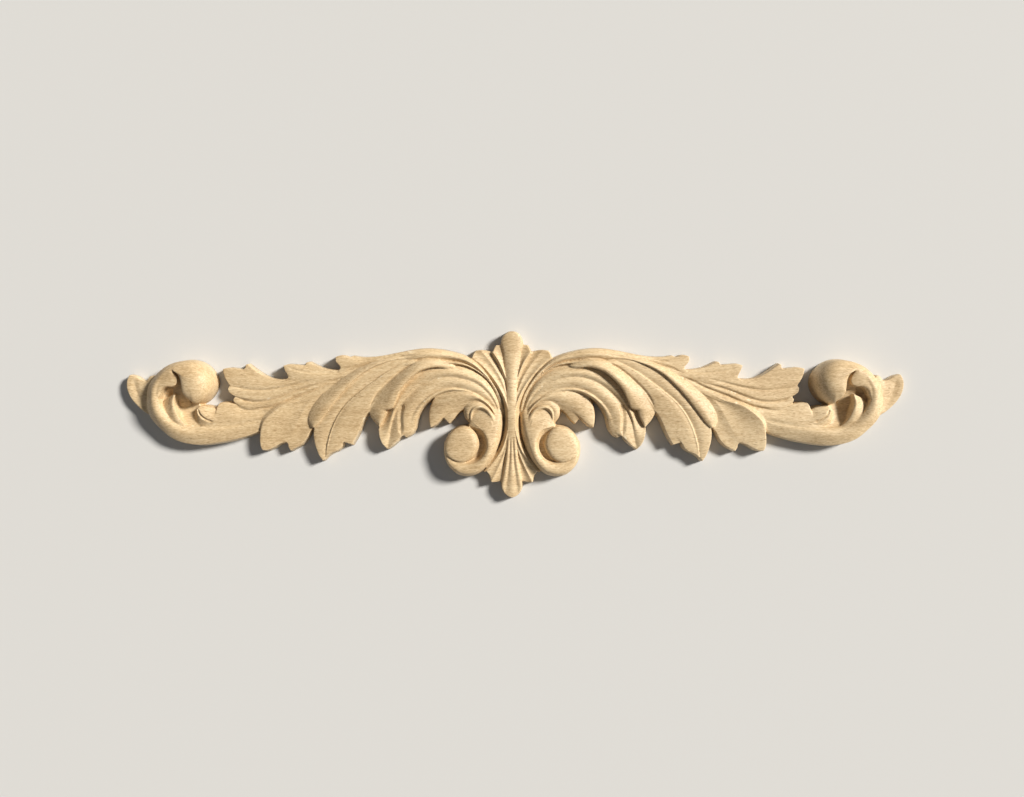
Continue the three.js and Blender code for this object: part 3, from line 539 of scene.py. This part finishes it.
            [244, 36.2, 38], [254, 41.4, 37], [266, 50, 36],
        ],
        b=END_CREASE_TOP,
        tip=[
            [[266, 50], [267.8, 49.6], [268, 46.4], [270.4, 44.6]],
            [[270.4, 44.6], [277.3, 45.6], [284.5, 46.2], [290.6, 45.4]],
            [[290.6, 45.4], [290, 41], [287.6, 35], [283.6, 28.5]],
        ],
        swell=[0, 1, 2, 2, 2],
        section=crest(0.6),
        reach=26,
    ),
    "end_leaf_middle": dict(
        a=END_CREASE_TOP,
        b=END_CREASE_MIDDLE,
        tip=[[[283.6, 28.5], [285.4, 25.5], [284.6, 22]], [[284.6, 22], [281.4, 19.4], [278.4, 17.5]]],
        swell=[0, 1, 1.5, 2, 2],
        section=crest(0.7),
        reach=12,
    ),
    "end_leaf_low": dict(
        a=lifted(END_CREASE_MIDDLE, -1),
        b=[
            [166, 37.8, 43], [192, 26.6, 44], [213.6, 18.4, 43], [237.6, 8.4, 42], [252, 6, 41],
            [264, 4.6, 40], [272, 6.4, 38.5], [278.6, 11, 36.5],
        ],
        tip=[[[278.4, 17.5], [280, 14.2], [278.6, 11]]],
        swell=[0, 1.5, 2, 2.5, 3],
        section=crest(0.7),
        reach=8,
    ),
    "stem_rib": dict(
        a=[
            [160, 41, 40], [176, 34.6, 41], [192, 26.9, 42], [213.6, 18.7, 41.5], [237.6, 8.6, 40],
            [252, 5.6, 37], [262, 3, 35],
        ],
        b=[
            [160, 38, 44], [178, 27, 45], [192, 19.4, 46], [206, 13, 46.5], [220, 8.6, 46],
            [236, 3.4, 44], [250, -2, 42], [262, -6, 38],
        ],
        swell=[0, 1.5, 2, 2, 1],
        section=crest(0.5),
    ),
    "low_leaf_left": dict(
        a=[
            [180, 20, 38], [190, 6, 39], [197.6, -10, 40], [202.7, -17.7, 39], [206.3, -24.3, 38],
            [211.2, -30.4, 37], [217.2, -34.2, 36], [222.2, -36.9, 35],
        ],
        b=LOW_RIDGE,
        tip=[[[222.2, -36.9], [224.4, -33.4], [225, -30], [226.8, -28.1]]],
        swell=[0, -1, -2, -2, -1],
        reach=12,
    ),
    "low_leaf_right": dict(
        a=LOW_RIDGE,
        b=LOW_EDGE,
        tip=[
            [[226.8, -28.1], [232.8, -29.9], [238.8, -33.4], [244.8, -35.9], [250.4, -36.4]],
            [[250.4, -36.4], [252.2, -31], [252.4, -24], [251.8, -16.5]],
        ],
        swell=[0, -2, -4, -5, -4, -1],
        reach=20,
    ),
    "low_leaf_bevel": dict(
        a=[[213, 13, 50], [228, 8.6, 54.5], [240, 0.6, 55.5], [248, -7.4, 52.5], [251.6, -14.5, 47]],
        b=[[215, 15, 44], [230, 11.4, 45], [243, 3, 45], [251, -5.6, 44], [253.2, -14, 42]],
        section=flat,
    ),
    "stem": dict(
        a=[
            [226, 12, 34], [240, 7.4, 37], [252, 4.6, 38], [264, 0, 41], [278, -5, 45], [292, -9, 49.5],
            [306, -12, 51], [318, -13, 50.5], [328, -10.6, 50], [338.4, -5.6, 53], [346.6, 2, 61],
            [351.6, 11, 68], [352.6, 20, 73], [350, 29, 77.5], [345, 36, 81], [339, 41, 84],
            [332, 44.4, 86], [323, 45.4, 84],
        ],
        b=[
            [222, 0, 34], [238, -9, 37], [251.4, -16.5, 38.5], [263, -21.3, 39], [277.5, -25.4, 40],
            [289, -27.9, 41], [301, -29.7, 43], [314, -30.7, 45], [328, -29.2, 46], [341, -24.2, 47],
            [352, -15.4, 47], [361.6, -5, 47], [366, 6, 48], [366.4, 17, 48], [364, 29.5, 49],
            [357, 39, 50], [348.6, 46.4, 52], [339, 51, 54], [329, 53.2, 54], [323, 53.4, 52],
        ],
        swell=[3, 6, 8, 9, 11, 13, 14, 13, 12, 8],
        section=crest(0.45),
    ),
    "stem_top": dict(
        a=[
            [240, 8, 34], [252, 6, 37], [262, 4.8, 37], [271, 6.4, 36.5], [277.6, 9.5, 37],
            [283, 11, 38], [289, 11.6, 39.5], [293.4, 11.2, 40],
        ],
        b=[
            [236, -2, 36], [250, -6, 43], [264, -9, 46], [278, -11, 49], [289, -12, 50.5],
            [297, -10.2, 51],
        ],
        tip=[[[293.4, 11.2], [295.2, 8.4], [296.2, 4.4]], [[296.2, 4.4], [297.4, -2], [297, -10.2]]],
        swell=[1, 3, 5, 5, 2.5],
        section=crest(0.6),
        reach=10,
    ),
    "hook_finger": dict(
        a=[
            [266, 0, 34], [280, 3, 39], [289, 4.2, 42], [296.4, 4.3, 41.5], [301.5, 6.8, 42.5],
            [307, 8, 43.5], [313, 7.7, 44], [316.3, 5.2, 44],
        ],
        b=[
            [268, -9, 36], [280, -10, 43], [291, -10, 48.5], [300.5, -9.4, 51], [307.4, -7.2, 52.5],
            [312, -4.2, 52.5], [315, -0.2, 50.5], [316.4, 4.4, 45],
        ],
        swell=[0, 1, 2, 4, 6, 4],
        section=crest(0.6),
    ),
    "hook_bevel": dict(
        a=[
            [290, -10, 48], [300.5, -9.4, 51], [307.4, -7.2, 52.5], [312, -4.2, 52.5],
            [315, -0.2, 50.5], [316.3, 4.8, 45],
        ],
        b=[
            [288, -12, 43], [300.5, -13.2, 46], [310, -13, 45], [316.2, -9.6, 40], [318.4, -3, 36],
            [318.2, 3.4, 38],
        ],
        section=flat,
    ),
    "curl_inner": dict(
        a=[
            [336, 42.6, 85], [332.4, 36.4, 82], [332.8, 30.6, 79], [337, 27.6, 77], [343.4, 27.2, 75],
            [348.6, 23.4, 72], [351.6, 16.6, 68],
        ],
        b=[
            [341, 42.6, 85], [344.6, 39, 83.5], [348, 35, 81.5], [350.8, 30.6, 79], [352.6, 25.6, 77],
            [353.4, 20.6, 74], [353.6, 15.6, 71],
        ],
        swell=[2],
    ),
    "tongue": dict(
        a=[
            [318, -16, 46], [326, -11, 52], [332, -4.7, 58], [335, 2.4, 63], [336.8, 10.6, 66],
            [335.8, 18.6, 67],
        ],
        b=[
            [336, -20, 46], [347, -9, 48], [352.4, 2, 47], [351, 10, 47], [346, 15.4, 52],
            [337, 19.6, 65],
        ],
        swell=[3, 5, 7, 7, 3],
        section=crest(0.3),
    ),
    "curl_floor": dict(
        a=[[311, -15, 46], [313.4, -4, 38], [314, 9, 36], [319, 17, 40], [328, 26, 52]],
        b=[[336, -13, 50], [347, -3, 50], [355, 7, 48], [358, 19, 50], [352, 31, 62]],
        swell=[0, -12, -17, -13, 0],
    ),
    "cleft_floor": dict(
        a=[[323, 5, 20], [324, 14, 38], [325.6, 24, 52], [325.6, 33, 62], [328, 40, 72], [332, 46, 82]],
        b=[[342, 5, 22], [341, 16, 42], [339, 26, 54], [336.6, 33, 62], [335.6, 39, 72], [338, 44, 82]],
        section=flat,
    ),
    "tip_leaf": dict(
        a=[[350, -8, 38], [358, 6, 39], [361, 22, 38], [361.4, 37.8, 34]],
        b=[
            [358, -8.6, 34], [365.1, -1.4, 33.5], [371, 2.4, 33], [377.7, 8, 32], [383, 13.8, 31],
            [386.8, 19.7, 30.5], [389, 26.6, 30], [389, 33.4, 30], [386.4, 39.4, 30],
        ],
        tip=[
            [[361.4, 37.8], [364.5, 38.3], [367, 36], [369, 33]],
            [[369, 33], [374, 33.8], [380, 37.6], [386.4, 39.4]],
        ],
        swell=[0, 1, -2, -3],
        reach=20,
    ),
}

# Bosses and balls. A higher power gives a flatter top and a steeper side.
DOMES = {
    "scroll_boss": dict(
        outline=[
            [32.3, -31, 40], [34.2, -22, 40], [39, -15.4, 42], [45, -12.2, 44], [52, -12.9, 45],
            [59, -16.8, 46], [64.8, -24.5, 46], [66.8, -34, 49], [62.6, -42.4, 58], [55, -46.6, 59],
            [46, -47.4, 52], [37, -42, 41],
        ],
        middle=[44, -31],
        top=66,
        power=3,
    ),
    "rolled_tip": dict(
        outline=[
            [299, 31, 50], [301, 39.4, 50], [306, 46, 50], [312.4, 50.6, 50], [319.6, 53, 52],
            [327, 53.2, 54], [334, 51.2, 60], [337.6, 47.6, 72], [336, 43.6, 84], [330.4, 39.6, 88],
            [327.4, 34, 90], [326.6, 27.5, 89], [326, 21.8, 85], [323.6, 17, 76], [320, 13.4, 64],
            [315.4, 10.6, 52], [307.4, 15, 50], [301.8, 21.8, 50],
        ],
        middle=[315.4, 33],
        top=100,
        power=2,
    ),
}

# Fine cuts into the leaves: a line, its width to each side, and its depth at the middle. A
# depth below zero raises a vein.
CUTS = [
    dict(
        line=[[166, 39], [182, 31.8], [192, 26.8], [214, 18.4], [238, 8.4], [257, 5.4]],
        width=2,
        depth=4,
    ),
    dict(line=seen_from_above(END_CREASE_MIDDLE[1:]), width=2, depth=3.5),
    dict(line=seen_from_above(END_CREASE_TOP[1:]), width=2, depth=2.4),
    dict(line=[[176, 41.6], [196, 41.4], [212, 43.2], [225, 46.6]], width=1.6, depth=1.6),
    dict(line=[[250, -5], [262, -8], [276, -11], [296, -13.4], [312, -13]], width=2.6, depth=2),
    dict(line=seen_from_above(FOLD_GROOVE[2:11]), width=1.8, depth=3.5),
    dict(
        line=[[91.3, 59.6], [114.6, 56.6], [133.2, 53], [153.4, 47.6], [170, 41.4]],
        width=1.8,
        depth=4,
    ),
    dict(line=[[84, 62], [105, 61], [125, 58.4], [142, 54.8], [160, 52]], width=1.8, depth=3),
    dict(line=[[88, 54.4], [104, 54.4], [120, 53.4], [136, 50]], width=1.4, depth=2),
    dict(line=seen_from_above(GREAT_VEIN[1:]), width=1.3, depth=-2.2),
    dict(line=[[367, 2], [374, 12], [379.5, 24], [383, 35]], width=4.5, depth=3),
    dict(line=[[314.6, 5.5], [312.8, 0.6], [309.6, -3.2], [305, -6], [298, -8]], width=1.5, depth=5),
    dict(line=[[110.5, -22], [110.8, -12], [111, -4], [110.2, 4], [107.5, 11]], width=3.2, depth=5),
]


def smooth_line(points, closed=False, steps=CURVE_STEPS):
    """A centripetal Catmull-Rom curve through the points, sampled finely."""
    p = np.array(points, float)
    if closed:
        p = np.vstack([p[-1], p, p[0], p[1]])
    else:
        p = np.vstack([2 * p[0] - p[1], p, 2 * p[-1] - p[-2]])
    out = []
    for p0, p1, p2, p3 in zip(p, p[1:], p[2:], p[3:]):
        t0 = 0.0
        t1 = t0 + math.sqrt(np.linalg.norm(p1 - p0))
        t2 = t1 + math.sqrt(np.linalg.norm(p2 - p1))
        t3 = t2 + math.sqrt(np.linalg.norm(p3 - p2))
        t = np.linspace(t1, t2, steps, endpoint=False)[:, None]
        a1 = (t1 - t) / (t1 - t0) * p0 + (t - t0) / (t1 - t0) * p1
        a2 = (t2 - t) / (t2 - t1) * p1 + (t - t1) / (t2 - t1) * p2
        a3 = (t3 - t) / (t3 - t2) * p2 + (t - t2) / (t3 - t2) * p3
        b1 = (t2 - t) / (t2 - t0) * a1 + (t - t0) / (t2 - t0) * a2
        b2 = (t3 - t) / (t3 - t1) * a2 + (t - t1) / (t3 - t1) * a3
        out.append((t2 - t) / (t2 - t1) * b1 + (t - t1) / (t2 - t1) * b2)
    if not closed:
        out.append(p[-2:-1])
    return np.vstack(out)


def along(chain, shares):
    """Points at shares of the way along a chain of straight steps."""
    run = np.r_[0, np.cumsum(np.linalg.norm(np.diff(chain, axis=0), axis=1))]
    return np.stack([np.interp(shares * run[-1], run, column) for column in chain.T], -1)


def spread(values, shares):
    """Values read from a short list that is spread evenly from 0 to 1."""
    return np.interp(shares, np.linspace(0, 1, len(values)), values)


def tip_outline(arcs):
    """The outline of a leaf's end: smooth arcs that meet at corners."""
    return np.vstack([smooth_line(arc, steps=FINE_STEPS) for arc in arcs])


def finger_grid(form, spacing):
    """A leaf finger as a grid of points (rows, columns, uvh) from one edge line to the other."""
    edge_a, edge_b = smooth_line(form["a"]), smooth_line(form["b"])
    length = max(np.linalg.norm(np.diff(e, axis=0), axis=1).sum() for e in (edge_a, edge_b))
    rows = max(FEWEST_ROWS, round(length / spacing))
    t = np.linspace(0, 1, rows + 1)
    a, b = along(edge_a, t), along(edge_b, t)
    columns = max(FEWEST_COLUMNS, round(np.linalg.norm(a - b, axis=1).max() / spacing))
    s = np.linspace(0, 1, columns + 1)
    grid = a[:, None] * (1 - s)[None, :, None] + b[:, None] * s[None, :, None]
    rise = form.get("section", crown)
    grid[..., 2] += spread(form.get("swell", [0]), t)[:, None] * rise(s[None], t[:, None])
    if "tip" in form:
        pull = np.clip(1 - (1 - t) * length / form.get("reach", END_REACH), 0, None) ** END_FADE
        shift = along(tip_outline(form["tip"]), s) - grid[-1, :, :2]
        grid[..., :2] += pull[:, None, None] * shift[None]
    return grid


def dome_grid(form, spacing):
    """A boss or ball as a grid of rings (rings, around, uvh)."""
    rim = smooth_line(form["outline"], closed=True)
    girth = np.linalg.norm(np.diff(rim, axis=0), axis=1).sum()
    around = max(FEWEST_AROUND, round(girth / spacing))
    rim = along(np.vstack([rim, rim[:1]]), np.linspace(0, 1, around, endpoint=False))
    middle = np.array(form["middle"], float)
    radius = np.linalg.norm(rim[:, :2] - middle, axis=1).mean()
    rings = max(FEWEST_RINGS, round(RING_CROWDING * radius / spacing))
    share = np.cos(np.linspace(0, 0.5 * np.pi, rings))
    share = np.where(share < TINY, 0, share)
    places = middle + share[:, None, None] * (rim[:, :2] - middle)[None]
    power = form["power"]
    climb = (1 - share ** power) ** (1 / power)
    h = rim[None, :, 2] + (form["top"] - rim[None, :, 2]) * climb[:, None]
    return np.concatenate([places, h[..., None]], -1)


def cut_depth(places):
    """How deep the cuts go at places (u, v), in the grid's height units."""
    depth = np.zeros(len(places))
    for cut in CUTS:
        chain = smooth_line(cut["line"], steps=FINE_STEPS)
        low, high = chain.min(0) - cut["width"], chain.max(0) + cut["width"]
        near = np.where(((places >= low) & (places <= high)).all(1))[0]
        points = places[near]
        best = np.full(len(near), np.inf)
        share = np.zeros(len(near))
        for k, (p, q) in enumerate(zip(chain, chain[1:])):
            step = q - p
            t = np.clip(((points - p) @ step) / (step @ step), 0, 1)
            gap = np.linalg.norm(points - p - t[:, None] * step, axis=1)
            closer = gap < best
            best = np.where(closer, gap, best)
            share = np.where(closer, (k + t) / (len(chain) - 1), share)
        fade = np.clip(CUT_TAPER * np.sin(np.pi * share), CUT_POINT, 1)
        across = np.clip(1 - best / (cut["width"] * fade), 0, 1)
        depth[near] += cut["depth"] * fade * across
    return depth


def to_metres(points):
    """Grid points (u, v, h) in the frame's metres, for the right half."""
    return np.stack([points[:, 0] * SCALE_U, points[:, 1] * SCALE_V, points[:, 2] * SCALE_H], -1)


def rim_ids(rows, columns):
    """The ids around a grid of points, in order."""
    first = list(range(columns - 1))
    second = [r * columns + columns - 1 for r in range(rows - 1)]
    third = [(rows - 1) * columns + c for c in range(columns - 1, 0, -1)]
    fourth = [r * columns for r in range(rows - 1, 0, -1)]
    return np.array(first + second + third + fourth)


def leaned_foot(top, rim, floor):
    """Where the walls under a rim meet the floor, and +1 if the rim runs anticlockwise."""
    before, after = top[np.roll(rim, 1)], top[np.roll(rim, -1)]
    x, y = top[rim, 0], top[rim, 1]
    turn = np.sign(np.sum(x * np.roll(y, -1) - np.roll(x, -1) * y))
    step = (after - before)[:, :2]
    step /= np.maximum(np.linalg.norm(step, axis=1), TINY)[:, None]
    lean = turn * DRAFT_RATIO * (top[rim, 2] - floor)
    foot = top[rim].copy()
    foot[:, 0] += step[:, 1] * lean
    foot[:, 1] -= step[:, 0] * lean
    foot[:, 2] = floor
    return foot, turn


def block_from_grid(grid):
    """A grid becomes a closed block: the carved top, leaning walls and a flat underside."""
    rows, columns = grid.shape[:2]
    top = to_metres(grid.reshape(-1, 3))
    floor = -UNDERCUT_H * SCALE_H
    base = top.copy()
    base[:, 2] = floor
    rim = rim_ids(rows, columns)
    base[rim], turn = leaned_foot(top, rim, floor)
    ids = np.arange(rows * columns).reshape(rows, columns)
    quads = np.stack([ids[:-1, :-1], ids[:-1, 1:], ids[1:, 1:], ids[1:, :-1]], -1).reshape(-1, 4)
    under = quads[:, ::-1] + rows * columns
    after = np.roll(rim, -1)
    walls = np.stack([rim, rim + rows * columns, after + rows * columns, after], -1)
    faces = np.vstack([quads, under, walls])
    return np.vstack([top, base]), (faces if turn > 0 else faces[:, ::-1])


def block_from_dome(grid):
    """Rings become a closed block: the dome, leaning walls and a flat underside."""
    rings, around = grid.shape[:2]
    top = to_metres(grid.reshape(-1, 3))
    floor = -UNDERCUT_H * SCALE_H
    rim = np.arange(around)
    foot, turn = leaned_foot(top, rim, floor)
    under = np.array([[*top[-1, :2], floor]])
    points = np.vstack([top, foot, under])
    ids = np.arange(rings * around).reshape(rings, around)
    low, high = ids[:-1], ids[1:]
    quads = np.stack([low, np.roll(low, -1, 1), np.roll(high, -1, 1), high], -1).reshape(-1, 4)
    feet = rings * around + rim
    walls = np.stack([feet, np.roll(feet, -1), np.roll(rim, -1), rim], -1)
    middle = np.full(around, len(points) - 1)
    bottom = np.stack([np.roll(feet, -1), feet, middle, middle], -1)
    faces = np.vstack([quads, walls, bottom])
    return points, (faces if turn > 0 else faces[:, ::-1])


def half_points():
    """Every block of the right half and the palmette, as one list of points and faces."""
    points, faces, count = [], [], 0
    blocks = [block_from_grid(finger_grid(form, SPACING)) for form in [*PALMETTE, *FORMS.values()]]
    blocks += [block_from_dome(dome_grid(form, SPACING)) for form in DOMES.values()]
    for block, quads in blocks:
        points.append(block)
        faces.append(quads + count)
        count += len(block)
    return np.vstack(points), np.vstack(faces)


def new_object(name, points, faces):
    """A mesh object from points and four-cornered faces, of which some corners may be the same."""
    mesh = bpy.data.meshes.new(name)
    polygons = [list(dict.fromkeys(face)) for face in faces.tolist()]
    mesh.from_pydata(points.tolist(), [], [p for p in polygons if len(p) > 2])
    mesh.validate()
    obj = bpy.data.objects.new(name, mesh)
    bpy.context.scene.collection.objects.link(obj)
    return obj


def apply_modifier(obj, kind, **settings):
    """Adds one modifier with its settings and applies it to the mesh."""
    modifier = obj.modifiers.new(kind.lower(), kind)
    for key, value in settings.items():
        setattr(modifier, key, value)
    depsgraph = bpy.context.evaluated_depsgraph_get()
    mesh = bpy.data.meshes.new_from_object(obj.evaluated_get(depsgraph))
    old = obj.data
    obj.modifiers.clear()
    obj.data = mesh
    bpy.data.meshes.remove(old)


def coordinates(mesh):
    """The mesh's points as an array with one row each."""
    values = np.empty(3 * len(mesh.vertices))
    mesh.vertices.foreach_get("co", values)
    return values.reshape(-1, 3)


def cut_away(obj, side):
    """Cuts off what lies on one side of the origin."""
    work = bmesh.new()
    work.from_mesh(obj.data)
    bmesh.ops.bisect_plane(
        work, geom=work.verts[:] + work.edges[:] + work.faces[:], dist=PLANE_GAP,
        plane_co=(0, 0, 0), plane_no=side, clear_outer=True,
    )
    work.to_mesh(obj.data)
    work.free()


def carve_onlay():
    """The right half is joined, rounded and cut, then mirrored and closed at the back."""
    obj = new_object("carved_onlay", *half_points())
    apply_modifier(obj, "REMESH", mode="VOXEL", voxel_size=VOXEL, use_smooth_shade=True)
    apply_modifier(obj, "SMOOTH", factor=SMOOTH_FACTOR, iterations=SMOOTH_STEPS)
    cut_away(obj, (0, 0, -1))
    cut_away(obj, (-1, 0, 0))
    engrave(obj)
    triangles = sum(len(p.vertices) - 2 for p in obj.data.polygons)
    apply_modifier(obj, "DECIMATE", ratio=min(1.0, HALF_TRIANGLES / triangles))
    apply_modifier(obj, "MIRROR", merge_threshold=MIRROR_GAP)
    close_back(obj)
    keep_inside(obj)
    obj.data.polygons.foreach_set("use_smooth", [True] * len(obj.data.polygons))
    return obj


def engrave(obj):
    """Sinks the fine cuts into the top of the mesh."""
    mesh = obj.data
    points = coordinates(mesh)
    places = np.stack([points[:, 0] / SCALE_U, points[:, 1] / SCALE_V], -1)
    normals = np.empty(3 * len(mesh.vertices))
    mesh.vertices.foreach_get("normal", normals)
    upward = normals.reshape(-1, 3)[:, 2]
    facing = np.clip(upward * FACING_SLOPE - FACING_LOSS, 0, 1)
    points[:, 2] -= facing * cut_depth(places) * SCALE_H
    mesh.vertices.foreach_set("co", points.ravel())
    mesh.update()


def close_back(obj):
    """Lays the open rim on the plane of the back and fills it."""
    work = bmesh.new()
    work.from_mesh(obj.data)
    for vert in work.verts:
        if vert.is_boundary:
            vert.co.z = 0.0
    bmesh.ops.holes_fill(work, edges=[e for e in work.edges if e.is_boundary])
    bmesh.ops.triangulate(work, faces=[f for f in work.faces if len(f.verts) > 4])
    bmesh.ops.recalc_face_normals(work, faces=work.faces)
    work.to_mesh(obj.data)
    work.free()


def keep_inside(obj):
    """Holds every point inside the frame's box."""
    points = np.clip(coordinates(obj.data), CAD_LOW, CAD_HIGH)
    obj.data.vertices.foreach_set("co", points.ravel())
    obj.data.update()


class Nodes:
    """Short calls for building the node tree of a material or a world."""

    def __init__(self, owner, shader="Principled BSDF"):
        owner.use_nodes = True
        self.tree = owner.node_tree
        self.shader = self.tree.nodes[shader]

    def add(self, kind, **inputs):
        """A new node with the named sockets fed."""
        node = self.tree.nodes.new("ShaderNode" + kind)
        for name, value in inputs.items():
            self.feed(value, node.inputs[name])
        return node

    def feed(self, value, socket):
        """Links another node's output to a socket, or sets a plain value on it."""
        if isinstance(value, bpy.types.NodeSocket):
            self.tree.links.new(value, socket)
        else:
            socket.default_value = value

    def math(self, operation, a, b):
        """One sum on two values."""
        node = self.add("Math")
        node.operation = operation
        self.feed(a, node.inputs[0])
        self.feed(b, node.inputs[1])
        return node.outputs[0]

    def total(self, *shares):
        """A sum of values, each times its share."""
        result = 0.0
        for value, share in shares:
            result = self.math("ADD", result, self.math("MULTIPLY", value, share))
        return result

    def stretched(self, vector, scale):
        """A vector times a scale for each of its parts."""
        return self.add("Mapping", Vector=vector, Scale=scale).outputs[0]

    def noise(self, vector, detail=2.0, roughness=0.5):
        """Noise with one cell to each unit of the vector."""
        node = self.add("TexNoise", Vector=vector, Scale=1.0, Detail=detail, Roughness=roughness)
        return node.outputs["Fac"]

    def grain(self, place, cells, **settings):
        """Noise with so many cells to the metre each way."""
        return self.noise(self.stretched(place, cells), **settings)

    def ramp(self, value, stops):
        """Colours that follow a value, from a list of stops (value, colour)."""
        node = self.add("ValToRGB", Fac=value)
        elements = node.color_ramp.elements
        while len(elements) < len(stops):
            elements.new(0.5)
        for element, (place, colour) in zip(elements, stops):
            element.position = place
            element.color = (*colour, 1)
        return node.outputs[0]

    def fade(self, value, stops, rising=True):
        """A share that goes from 0 at the first stop to 1 at the second, or the other way."""
        shares = (0, 1) if rising else (1, 0)
        return self.ramp(value, [(stop, (share,) * 3) for stop, share in zip(stops, shares)])

    def mix(self, share, total, a, b, blend="MIX"):
        """Colour a with up to a total of colour b mixed in where the share says so."""
        node = self.add("Mix")
        node.data_type = "RGBA"
        node.blend_type = blend
        self.feed(self.math("MULTIPLY", share, total), node.inputs[0])
        self.feed(a, node.inputs[MIX_A])
        self.feed((*b, 1), node.inputs[MIX_B])
        return node.outputs[MIX_RESULT]


def beech_material():
    """Bare sanded beech: long grain along the onlay, short dark flecks, a browner painted shade in the
    cuts and hollows, painted highlights on sharp edges.
    """
    material = bpy.data.materials.new("bare_beech")
    nodes = Nodes(material)
    place = nodes.add("TexCoord").outputs["Object"]
    broad, streaks, fibres = (
        nodes.grain(place, **layer) for layer in (BROAD_GRAIN, STREAKS, FIBRES)
    )
    tone = nodes.total(*zip((broad, streaks, fibres), TONE_SHARES))
    colour = nodes.ramp(tone, list(zip(TONE_STOPS, (WOOD_DARK, WOOD_MID, WOOD_LIGHT))))
    cells = nodes.stretched(place, FLECK_CELLS)
    distance = nodes.add("TexVoronoi", Vector=cells, Scale=1.0).outputs["Distance"]
    spots = nodes.fade(distance, FLECK_SIZE, rising=False)
    fleck = nodes.math("MULTIPLY", spots, nodes.fade(nodes.noise(cells), FLECK_CHANCE))
    colour = nodes.mix(fleck, FLECK_SHARE, colour, WOOD_FLECK)
    bend = nodes.add("NewGeometry").outputs["Pointiness"]
    # Painted shade: darkens the wood in creases and hollows, where the surface bends inward.
    painted_shade = nodes.fade(bend, PAINTED_SHADE_STOPS, rising=False)
    colour = nodes.mix(painted_shade, PAINTED_SHADE_SHARE, colour, WOOD_PAINTED_SHADE, "MULTIPLY")
    # Painted highlight: lightens the wood along sharp convex edges.
    colour = nodes.mix(nodes.fade(bend, PAINTED_HIGHLIGHT_STOPS), PAINTED_HIGHLIGHT_SHARE, colour, WOOD_PAINTED_HIGHLIGHT)
    nodes.feed(colour, nodes.shader.inputs["Base Color"])
    rough = nodes.total((streaks, STREAK_ROUGHNESS), (fleck, FLECK_ROUGHNESS), (1.0, ROUGHNESS))
    nodes.feed(rough, nodes.shader.inputs["Roughness"])
    relief = nodes.total(*zip((fibres, streaks, fleck), RELIEF_SHARES))
    bump = nodes.add("Bump", Height=relief, Strength=BUMP_STRENGTH, Distance=BUMP_DEPTH)
    nodes.feed(bump.outputs[0], nodes.shader.inputs["Normal"])
    return material


def plain_material(name, colour, roughness):
    """One even colour."""
    material = bpy.data.materials.new(name)
    nodes = Nodes(material)
    nodes.shader.inputs["Base Color"].default_value = (*colour, 1)
    nodes.shader.inputs["Roughness"].default_value = roughness
    return material


def make_floor():
    """A plain pale floor, a hair below the back."""
    bpy.ops.mesh.primitive_plane_add(size=FLOOR_SIZE, location=(0, 0, -FLOOR_GAP))
    floor = bpy.context.object
    floor.name = "pale_floor"
    floor.data.materials.append(plain_material("pale_floor", FLOOR_COLOUR, FLOOR_ROUGHNESS))


def make_key_light():
    """A wide soft light from the upper right, so far off that it falls alike everywhere."""
    data = bpy.data.lights.new("window", "SUN")
    data.energy = KEY_STRENGTH
    data.angle = math.radians(KEY_SPREAD)
    data.color = KEY_COLOUR
    light = bpy.data.objects.new("window", data)
    light.rotation_euler = Vector(KEY_FROM).to_track_quat("Z", "Y").to_euler()
    bpy.context.scene.collection.objects.link(light)


def make_sky():
    """A dim sky over a pale horizon."""
    world = bpy.data.worlds.new("studio")
    nodes = Nodes(world, "Background")
    direction = nodes.add("TexCoord").outputs["Generated"]
    up = nodes.add("SeparateXYZ", Vector=direction).outputs["Z"]
    sky = nodes.ramp(up, [(SKY_RISE[0], HORIZON_COLOUR), (SKY_RISE[1], SKY_COLOUR)])
    nodes.feed(sky, nodes.shader.inputs["Color"])
    bpy.context.scene.world = world
    bpy.context.scene.view_settings.view_transform = "Standard"


def make_camera():
    """The photograph's view, from above."""
    data = bpy.data.cameras.new("camera")
    data.sensor_width = SENSOR_WIDTH
    data.lens = SENSOR_WIDTH * FOCAL_PX / IMAGE_WIDTH
    camera = bpy.data.objects.new("camera", data)
    turn = math.radians(CAMERA_YAW)
    distance = CAMERA_DISTANCE
    camera.location = (distance * math.sin(turn), CAMERA_RISE, distance * math.cos(turn))
    camera.rotation_euler = (0, turn, 0)
    bpy.context.scene.collection.objects.link(camera)
    bpy.context.scene.camera = camera


make_camera()
onlay = carve_onlay()
onlay.data.materials.clear()
onlay.data.materials.append(beech_material())
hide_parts("carved_leaf_onlay")
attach(onlay, "root")
make_floor()
make_key_light()
make_sky()
